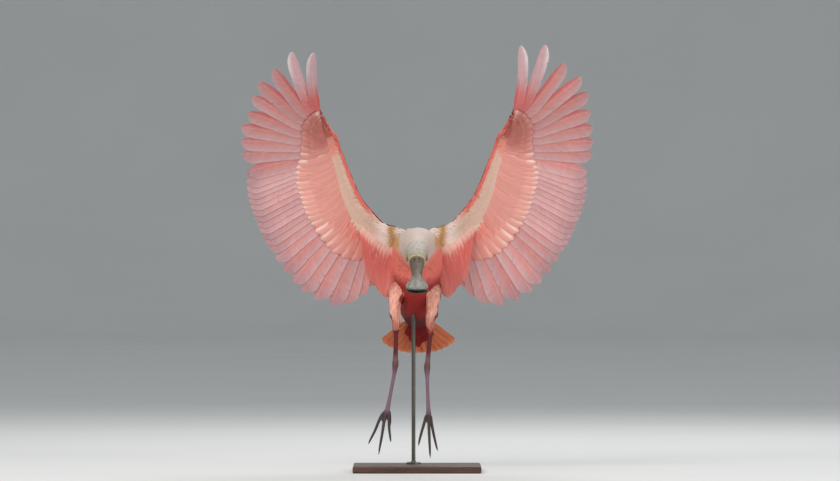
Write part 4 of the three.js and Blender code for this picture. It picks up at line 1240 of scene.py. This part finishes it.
def scatter(surface, p_span, q_span, spacing, depth):
    """Roots set evenly over a surface of two parameters. A grid fine enough for the longest rows has one root
    in each cell, moved by chance, and cells smaller than the spacing keep theirs by chance."""
    p, q = np.linspace(*p_span, 50)[:, None], np.linspace(*q_span, 50)[None]
    grid = surface(p, q, 0.0)
    rows = int(np.linalg.norm(np.diff(grid, axis=0), axis=-1).sum(0).max() / spacing) + 1
    columns = int(np.linalg.norm(np.diff(grid, axis=1), axis=-1).sum(1).max() / spacing) + 1
    i, j = np.meshgrid(np.arange(rows), np.arange(columns), indexing="ij")
    i = i + 0.5 + chance.uniform(-0.3, 0.3, i.shape)
    j = j + 0.5 * (i.astype(int) % 2) + 0.25 + chance.uniform(-0.3, 0.3, j.shape)
    u, v = (i / rows).ravel(), np.clip(j / columns, 0, 1).ravel()
    p = p_span[0] + u * (p_span[1] - p_span[0])
    q = q_span[0] + v * (q_span[1] - q_span[0])
    dp, dq = (p_span[1] - p_span[0]) / 60, (q_span[1] - q_span[0]) / 200
    lo, hi = p_span[0] + dp, p_span[1] - dp
    inner = np.clip(p, lo, hi)
    point = surface(p, q, 0.0)
    ahead, behind = surface(inner + dp, q, 0.0), surface(inner - dp, q, 0.0)
    right, left = surface(p, q + dq, 0.0), surface(p, q - dq, 0.0)
    step_p, step_q = (ahead - behind) / 2, (right - left) / 2
    out = unit(np.cross(step_p, step_q))
    grown = dot(out, surface(p, q, 1.0) - point)
    outward = np.sign(grown.sum())  # where a bend's rings cross, the sign is the other one and no root is set
    out = out * outward
    mid = surface(inner, q, 0.0)
    bend_p = -dot(ahead + behind - 2 * mid, out) / dot(step_p, step_p)
    bend_q = -dot(right + left - 2 * point, out) / dot(step_q, step_q)
    cell = np.linalg.norm(np.cross(step_p / dp, step_q / dq), axis=-1)
    cell = cell * abs(p_span[1] - p_span[0]) * abs(q_span[1] - q_span[0]) / (rows * columns)
    kept = (chance.random(len(p)) < cell / spacing**2) & (grown * outward > 0)
    all_of = {
        "p": p, "q": q, "u": u, "v": v, "root": point - out * depth, "out": out, "depth": depth + 0 * p,
        "along_p": unit(step_p), "along_q": unit(step_q),
        "bend_p": np.clip(bend_p, -0.003, 0.09), "bend_q": np.clip(bend_q, -0.003, 0.09),
    }
    return {name: values[kept] for name, values in all_of.items()}


def soft_vanes(roots, lean, length, width, stand=0.4, spread=0.12):
    """Small feathers at their roots. Lean holds the shares of the two ways along the surface. The height
    over the root grows from the skin to the coat's outer face, less the surface's own bend."""
    count = len(roots["p"])
    turn = chance.normal(0, spread, count)
    way = roots["along_p"] * np.reshape(lean[0], (-1, 1)) + roots["along_q"] * np.reshape(lean[1], (-1, 1))
    way = unit(way - roots["out"] * dot(way, roots["out"])[:, None])
    aside = np.cross(way, roots["out"])
    way, aside = (
        way * np.cos(turn)[:, None] + aside * np.sin(turn)[:, None],
        aside * np.cos(turn)[:, None] - way * np.sin(turn)[:, None],
    )
    size = chance.uniform(0.82, 1.15, count)
    length, width = length * size, width * chance.uniform(0.85, 1.15, count) * size
    share = lean[0] ** 2 / (lean[0] ** 2 + lean[1] ** 2)
    bend = roots["bend_p"] * share + roots["bend_q"] * (1 - share)
    bend_aside = roots["bend_q"] * share + roots["bend_p"] * (1 - share)
    s = SOFT_ROWS[None, :, None]
    run = s * length[:, None, None]
    half = SOFT_OUTLINE[None, :, None] * width[:, None, None] / 2
    a = half * np.array([-1.0, 0.0, 1.0])
    lift = chance.uniform(0.6, 1.25, count)[:, None, None]
    depth = roots["depth"][:, None, None]
    height = (depth + stand * lift) * (1 - (1 - s) ** 2.2) - 0.07 * depth * s**3
    height = height - bend[:, None, None] * run**2 / 2 - bend_aside[:, None, None] * a**2 / 2
    height = height - 0.035 * a**2 / (half + 1)
    thick = np.array([0, SOFT_THICK, 0]) * (1 - 0.5 * s)

    def at(rise):
        place = roots["root"][:, None, None] + way[:, None, None] * run[..., None]
        place = place + aside[:, None, None] * a[..., None]
        return place + roots["out"][:, None, None] * rise[..., None]

    ring = ring_of(at(height + thick), at(height - 0.6 * thick))
    web, full = a / np.maximum(2 * half, 0.1), s + 0 * a
    return {
        "ring": ring, "share": ring_of(full, full), "aside": ring_of(a, a),
        "web": ring_of(web, web), "mm": ring_of(run + 0 * a, run + 0 * a),
        "u": roots["u"], "v": roots["v"],
    }


def lay_coat(name, sets, side, material):
    """Joins sets of small feathers, each with its colours, to one piece. On the bake's map each set has a
    band, and in it each feather is a patch at its root's place on the unrolled skin."""
    parts = []
    for number, (vanes, tone) in enumerate(sets):
        band = (number + 0.03 + 0.94 * vanes["v"]) / len(sets)
        patch = PATCH * np.stack([vanes["web"], vanes["share"] - 0.5], -1)
        bake = patch + np.stack([band, 0.02 + 0.96 * vanes["u"]], -1)[:, None, None]
        parts.append(feather_part(vanes, side, tone[:, None, None], 0.08, bake))
    piece = put_feathers(name, parts, material)


def wing_coat_colour(station, share, upper):
    """Lesser coverts: below the wing a pale web of skin before the arm, a red leading edge, cream along the
    forearm and rose behind it, and on the hand a darker brown rose that is partly painted shade; above,
    carmine over the arm and pink towards the hand."""
    shape = (*station.shape, 3)
    if upper > 0:
        colour = np.broadcast_to(srgb(206, 84, 86), shape)
        colour = mixed(colour, ease(share, 0.35, 0.75), srgb(216, 134, 130))
        colour = mixed(colour, ease(station, 6.2, 7.2), srgb(206, 122, 116))
    else:
        colour = np.broadcast_to(srgb(208, 172, 154), shape)
        bone = 0.5 + 0.18 * ease(station, 2, 3.6)
        colour = mixed(colour, 1 - ease(np.abs(share - bone), 0.03, 0.1), srgb(224, 186, 165))
        colour = mixed(colour, ease(share, bone + 0.08, bone + 0.2), srgb(220, 148, 136))
        colour = mixed(colour, ease(station, 5.6, 6.2) * (1 - ease(station, 6.9, 7.4)), srgb(220, 138, 122))
        # Partly painted shade: the hand's underside turns a darker brown rose, as it faces down and forward,
        # away from the light.
        colour = mixed(colour, ease(station, 6.9, 7.5), srgb(180, 98, 88))
        colour = mixed(colour, (1 - ease(share, 0.02, 0.08)) * ease(station, 1.2, 2.2), srgb(212, 106, 95))
    colour = mixed(colour, 1 - ease(station, 0.5, 1.5), srgb(228, 206, 196))
    ochre = bell(station, 0.05, 0.28) * (1 - ease(share, 0.5, 0.85))
    return mixed(colour, ochre * (0.25 if upper > 0 else 1), srgb(184, 134, 82))


def marked(vanes):
    """Small feathers with the markings' colour at the place where each one shows, near its tip."""
    return vanes, body_colour(vanes["ring"][:, 3].mean(axis=1))


soft_finish = plumage("body_feathers", barb=0.5, shaft=0.08, deep=0.35)
WHOLE_TURN = (0, 2 * np.pi)
trunk = scatter(partial(oval, BODY), (3.45, 10.9), WHOLE_TURN, 4.5, TRUNK_DEPTH)
full = ease(trunk["p"], 4.2, 7)
vanes = soft_vanes(trunk, (1, 0), 17 + 7 * full, 8.4 + 2 * full, 0.1, 0.08)
lay_coat("trunk_coat", [marked(vanes)], 1, soft_finish)
neck = scatter(partial(oval, BODY), (0.02, 3.9), WHOLE_TURN, 2.7, NECK_DEPTH)
nape = scatter(partial(oval, HEAD), (0.0, 0.75), WHOLE_TURN, 1.9, 1.2)
full = ease(neck["p"], 2.0, 3.9)
sets = [marked(soft_vanes(neck, (1, 0), 13 + full, 4.8 + 1.2 * full, 0.05, 0.08))]
sets.append(marked(soft_vanes(nape, (-1, 0), 6, 2.6, 0.1, 0.2)))
lay_coat("neck_coat", sets, 1, soft_finish)
for label, path in THIGHS.items():
    thigh = scatter(partial(limb, path), (0.1, 3.75), WHOLE_TURN, 2.7, THIGH_DEPTH)
    length = 34 - 9 * ease(thigh["p"], 2.6, 3.75)
    tone = body_colour(thigh["root"] - np.array([0, 0, 0.8]) * length[:, None])
    streaks = chance.random(len(tone)) ** 2  # a few redder feathers make the thigh's long streaks
    tone = mixed(tone, 0.5 * streaks, srgb(196, 104, 90))
    vanes = soft_vanes(thigh, (1, 0), length, 4.6, 0.1, 0.05)
    lay_coat(f"thigh_coat_{label}", [(vanes, tone)], 1, soft_finish)
for label, side in SIDES.items():
    sets = []
    for upper, span, size in ((1, 0.85, 15), (-1, 0.66, 14)):
        surface = lambda p, q, grow: on_wing(p, q, upper, grow)
        roots = scatter(surface, (-1.0, 8.95), (-0.02, span), 3.1, WING_DEPTH)
        inner = ease(roots["q"], 0.02, 0.16)  # along the leading edge they point to the wing's tip
        length = size * (0.75 + 0.25 * inner)
        width = length * (0.48 + 0.12 * inner)
        vanes = soft_vanes(roots, (1 - 0.75 * inner, 0.25 + 0.75 * inner), length, width, 0.12, 0.07)
        sets.append((vanes, wing_coat_colour(roots["p"], roots["q"], upper)))
    lay_coat(f"wing_coat_{label}", sets, side, soft_finish)


# Tail: twelve stiff tawny feathers in a low fan, with crimson coverts over and under their bases. The
# longest of those below end in a point.

TAIL_ROOT = np.array([3, 104, 354])
TAIL_DOWN = math.radians(56)
TAIL_UP = np.array([0, math.sin(TAIL_DOWN), math.cos(TAIL_DOWN)])
TAIL_SPREAD = math.radians(47)
TAIL_LENGTH = 109
TAIL_LAYER = 1.7
# Each row of coverts: height over the tail's plane, length in the middle, how much shorter they get for
# each radian to the side, and width.
TAIL_COVERTS = [
    [9.4, 62, 12, 19],
    [10.6, 44, 8, 17],
    [-11.6, 82, 50, 18],
    [-12.6, 58, 30, 17],
]


def tail_vanes(turn, lift, length, width, outline, **more):
    """Straight feathers fanned about the tail's root in its plane, each at its own height over it."""
    flat = np.cos(turn)
    way = np.stack([np.sin(turn), flat * math.cos(TAIL_DOWN), -flat * math.sin(TAIL_DOWN)], -1)
    root = TAIL_ROOT + TAIL_UP * lift[:, None]
    tip = root + way * np.reshape(length, (-1, 1))
    up, widths = TAIL_UP + 0 * root, width + 0 * turn
    return free_vanes(root, tip, up, 0.0, outline, widths, 22, lead_share=0.5, **more)


def tail_colour(vanes):
    """Tawny orange feathers, redder along the edges and brown at the shaft; crimson coverts."""
    share, web = vanes["share"], vanes["web"]
    if vanes["covert"]:
        colour = np.broadcast_to(srgb(108, 12, 16), (*share.shape, 3))
        return mixed(colour, ease(share, 0.7, 1) * 0.4, srgb(150, 40, 34))
    colour = np.broadcast_to(srgb(206, 116, 76), (*share.shape, 3))
    colour = mixed(colour, ease(np.abs(web), 0.25, 0.5) * 0.6, srgb(196, 80, 64))
    colour = mixed(colour, (1 - ease(np.abs(web), 0.03, 0.12)) * 0.4, srgb(132, 76, 56))
    return mixed(colour, ease(share, 0.85, 1) * 0.4, srgb(226, 160, 118))


number = np.arange(6)  # each side's feathers from the middle outwards, and lower and lower
turns = TAIL_SPREAD * (number + 0.5) / 5.5
turns = np.concatenate([turns, -turns])
lifts = TAIL_LAYER * (2.0 - number)
lifts = np.concatenate([[3 * TAIL_LAYER], lifts[1:], lifts])  # one of the middle pair lies over the other
sets = [tail_vanes(turns, lifts, TAIL_LENGTH, 26, SECONDARY_OUTLINE) | {"covert": False}]
for rise, reach, fall, wide in TAIL_COVERTS:
    turns = np.linspace(-0.5, 0.5, 9)
    out = np.abs(turns)
    lifts = np.sign(rise) * (np.abs(rise) - 3 * out - 0.5 * (np.arange(9) % 2))
    length = reach - fall * out - 5 * (np.arange(9) % 2)
    sets.append(tail_vanes(turns, lifts, length, wide, COVERT_OUTLINE, splits=0) | {"covert": True})
tail = finish_vanes("tail_feathers", sets, 1, covert_finish, tail_colour)


# Legs and feet: thin scaled skin over bone, dull red above the ankle and mauve below it, with dark toes,
# a small web between the front ones, and a curved claw on each.

# Each row: x, y, z and radius, from under the thigh's feathers to the foot, and along each toe.
LEGS = {
    "left": {
        "leg": [
            [31.5, 8, 336, 6], [31, 8, 321.6, 5.6], [28, 7, 290, 5], [24.5, 6, 252, 5.6], [23, 6, 238, 7.2],
            [23, 7, 226, 6.4], [23.4, 8, 210, 4.4], [24.5, 9, 170, 4], [26, 8, 140, 5], [26.5, 8, 130, 6],
            [26.5, 6, 118, 3.5],
        ],
        "toes": [
            [
                [24, 8, 134, 4.4], [17, 2, 112, 3.4], [10, -6, 88, 3], [5, -10, 68, 2.2], [3.5, -12, 59, 0.8],
            ],
            [
                [26.5, 5, 134, 4.6], [27, -4, 108, 3.6], [28, -13, 78, 3.1], [29.4, -18, 46, 2.3],
                [30, -20, 31, 0.8],
            ],
            [
                [29, 8, 134, 4.4], [33, 2, 110, 3.4], [38, -6, 84, 3], [44, -11, 58, 2.2],
                [47.5, -13, 46.5, 0.8],
            ],
            [[27, 12, 134, 4.2], [28, 20, 118, 3.2], [28.5, 26, 102, 2.4], [28, 28, 92, 0.8]],
        ],
    },
    "right": {
        "leg": [
            [-48, 8, 340, 6], [-48, 8, 325.6, 5.6], [-48, 7, 294, 5], [-49, 6, 260, 5.6], [-49, 6, 247, 7.2],
            [-50, 7, 235, 6.4], [-52, 8, 220, 4.4], [-60, 9, 178, 4], [-66, 8, 147, 5], [-68, 8, 137, 6],
            [-69, 6, 125, 3.5],
        ],
        "toes": [
            [
                [-71, 8, 141, 4.4], [-85, 2, 118, 3.4], [-95, -5, 94, 3], [-106, -10, 72, 2.2],
                [-110.5, -12, 62, 0.8],
            ],
            [
                [-69, 5, 141, 4.6], [-75, -4, 112, 3.6], [-79, -13, 86, 3.1], [-84.5, -18, 55, 2.3],
                [-87, -20, 38.5, 0.8],
            ],
            [
                [-66, 8, 141, 4.4], [-64, 2, 118, 3.4], [-63, -5, 96, 3], [-60.5, -10, 76, 2.2],
                [-59.5, -12, 67, 0.8],
            ],
            [[-65, 12, 141, 4.2], [-62, 20, 126, 3.2], [-61, 26, 112, 2.4], [-61, 28, 101, 0.8]],
        ],
    },
}
CLAW = 0.62  # how much of the stretch between a toe's last two rows its claw takes
TOE_SUNK = 3.2  # how much thinner a toe's root is, inside the foot


def leg_colour(points, toe):
    """Crimson under the thigh, brown at the ankle, mauve pink along the shin and dark brown on the toes."""
    z = points[..., 2]
    colour = np.broadcast_to(srgb(128, 98, 112), points.shape)
    colour = mixed(colour, ease(z, 246, 272), srgb(94, 14, 18))
    colour = mixed(colour, bell(z, 240, 15) * 0.9, srgb(98, 58, 52))
    return mixed(colour, 1 - ease(z, 112 + 12 * toe, 150), srgb(66, 53, 52))


def scaled_skin():
    """Small rounded plates, longer across the leg in front, with darker seams between them."""
    even = {"Specular IOR Level": 0.3, "Coat Weight": 0.04, "Coat Roughness": 0.4}
    material, start = new_finish("leg_skin", even)
    place = start.place()
    tint = start.tint()
    plates = start.cells(start.stretched(place, (0.7, 0.7, 1.1)), 420)
    cloud = start.noise(place, 60, 3)
    seams = 1 - plates.step(0.02, 0.16)
    colour = (cloud * 0.35).colours(tint, tint, "SCREEN")
    colour = (seams * 0.4).colours(colour, srgb(48, 28, 28))
    rough = cloud * 0.2 + 0.42
    normal = plates.step(0.0, 0.3).bump(0.0006, 0.6)
    return feed(material, {"Base Color": colour, "Roughness": rough, "Normal": normal})


def claw_horn():
    """Blackish horn with fine lines along it."""
    material, start = new_finish("claw_horn", {"Coat Weight": 0.3, "Coat Roughness": 0.25})
    lines = start.noise(start.stretched(start.place(), (900, 900, 120)), 1.0, 3)
    colour = lines.colours(srgb(30, 24, 22), srgb(66, 56, 50))
    return feed(material, {"Base Color": colour, "Roughness": lines * 0.2 + 0.3})


def toe_web(one, two):
    """A thin sheet between two toes: straight across at each place along them, its outer edge drawn back in
    the middle."""
    at = np.linspace(0.1, 1.25, 14)[None, :, None]
    across = np.linspace(0, 1, 11)[None, None]
    (a, b) = (along(counted(toe), at)[..., :3] for toe in (one, two))
    place = a + (b - a) * across[..., None]
    place[..., 2] += 9 * np.sin(np.pi * across) * ease(at, 0.3, 1.25)
    up = np.array([0, 0.944, 0.33]) * (0.5 * np.sin(np.pi * across))[..., None]
    return ring_of(place + up, place - up)


around = circle(28)[None]
scales, horn_black = scaled_skin(), claw_horn()
for label, limbs in LEGS.items():
    parts, claws = [], []
    at = np.linspace(0, len(limbs["leg"]) - 1, 150)[:, None]
    shapes = [(limb(limbs["leg"], at, around)[None], 0)]
    for toe in limbs["toes"]:
        end = len(toe) - 1
        at = np.linspace(0, end - CLAW * 0.8, 46)[:, None]
        pads = 0.28 * bell(at % 1, 0.5, 0.3) * np.maximum(-np.sin(around), -0.2)
        sunk = TOE_SUNK * (1 - ease(at, 0, 0.5))
        shapes.append((limb(toe, at, around, pads - sunk)[None], 1))
        at = np.linspace(end - CLAW, end, 16)[:, None]
        claws.append(limb(toe, at, circle(12)[None], -0.25)[None])
    shapes += [(toe_web(limbs["toes"][k], limbs["toes"][k + 1]), 1) for k in (0, 1)]
    for ring, on_toe in shapes:
        points, quads, threes = tubes(ring)
        parts.append((points, quads, threes, leg_colour(points, on_toe)))
    points, quads, threes, tint = joined(parts)
    leg = put(f"leg_{label}_skin", points, quads, threes, [scales], tint=tint)
    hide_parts(f"leg_{label}_shank", f"leg_{label}_tarsus")
    nails = put(f"claws_{label}", *tubes(np.concatenate(claws)), [horn_black])
    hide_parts(f"foot_{label}")


# Floor and backdrop: one pale round sheet of paper that lies under the stand and turns up all round, far out
# behind the camera's place. Its sizes are in metres.

FLOOR_RADIUS = 20
FLOOR_BEND = 5
WALL_TOP = 14


def pale_sheet():
    """Faint clouds on a pale warm grey."""
    material, start = new_finish("backdrop_paper", {"Roughness": 0.95})
    clouds = start.noise(start.place(), 1.3, 2)
    return feed(material, {"Base Color": clouds.colours(srgb(214, 214, 211), srgb(222, 222, 220))})


def backdrop():
    """A flat disc, a quarter circle and a wall as a profile by distance from the middle, turned about Z."""
    bend = np.linspace(0, np.pi / 2, 20)
    flat = [0.01, 2, 6, 12, FLOOR_RADIUS]
    reach = [flat, FLOOR_RADIUS + FLOOR_BEND * np.sin(bend), [FLOOR_RADIUS + FLOOR_BEND]]
    rise = [np.zeros(len(flat)), FLOOR_BEND * (1 - np.cos(bend)), [WALL_TOP]]
    reach, rise = np.concatenate(reach)[:, None], np.concatenate(rise)[:, None]
    turn = circle(96)[None]
    grid = np.stack(np.broadcast_arrays(reach * np.cos(turn), reach * np.sin(turn), rise), -1)
    count, around = grid.shape[:2]
    i, j = np.meshgrid(np.arange(count - 1), np.arange(around), indexing="ij")
    here, beside = i * around + j, i * around + (j + 1) % around
    faces = np.stack([here, here + around, beside + around, beside], -1).reshape(-1, 4).tolist()
    mesh = bpy.data.meshes.new("backdrop")
    mesh.from_pydata(grid.reshape(-1, 3), [], faces + [list(range(around))])
    mesh.shade_smooth()
    mesh.materials.append(pale_sheet())
    piece = bpy.data.objects.new("backdrop", mesh)
    bpy.context.scene.collection.objects.link(piece)


backdrop()


# Light and camera: a broad soft light in front and above, a fill from the bird's left, a light from behind
# and above, and a pale surround. The camera stands far off at the height of the bird's middle and looks
# level, as in the photograph.

VIEW_MIDDLE = (0.0068, 0.5248)  # x and z at the middle of the picture
VIEW_WIDTH = 1.909  # metres that the picture is wide, at the bird
VIEW_DISTANCE = 14.0
FILM_WIDTH = 36
LIT_PLACE = np.array([0, 0, 0.5])


def soft_light(name, place, size, power, tone=(1, 1, 1)):
    """A square lamp turned to the bird's middle."""
    lamp = bpy.data.lights.new(name, "AREA")
    lamp.size = size
    lamp.energy = power
    lamp.color = tone
    item = bpy.data.objects.new(name, lamp)
    bpy.context.scene.collection.objects.link(item)
    item.location = place
    x, y, z = LIT_PLACE - place
    item.rotation_euler = (math.atan2(math.hypot(x, y), -z), 0, math.atan2(-x, y))


soft_light("key", (-1.8, -3.4, 3.4), 2.6, 150, (1.0, 0.98, 0.95))
soft_light("fill", (3.2, -2.6, 1.4), 2.4, 60, (0.95, 0.98, 1.0))
soft_light("rim", (0.6, 2.6, 3.2), 2.0, 60)
world = bpy.data.worlds.new("surround")
world.use_nodes = True
world.node_tree.nodes["Background"].inputs["Color"].default_value = (0.86, 0.9, 0.95, 1)
world.node_tree.nodes["Background"].inputs["Strength"].default_value = 0.55
bpy.context.scene.world = world
bpy.context.scene.view_settings.view_transform = "Standard"

lens = bpy.data.cameras.new("camera")
lens.sensor_width = FILM_WIDTH
lens.lens = FILM_WIDTH * VIEW_DISTANCE / VIEW_WIDTH
lens.clip_end = 100
camera = bpy.data.objects.new("camera", lens)
bpy.context.scene.collection.objects.link(camera)
camera.location = (VIEW_MIDDLE[0], -VIEW_DISTANCE, VIEW_MIDDLE[1])
camera.rotation_euler = (math.pi / 2, 0, 0)
bpy.context.scene.camera = camera

bpy.context.view_layer.update()
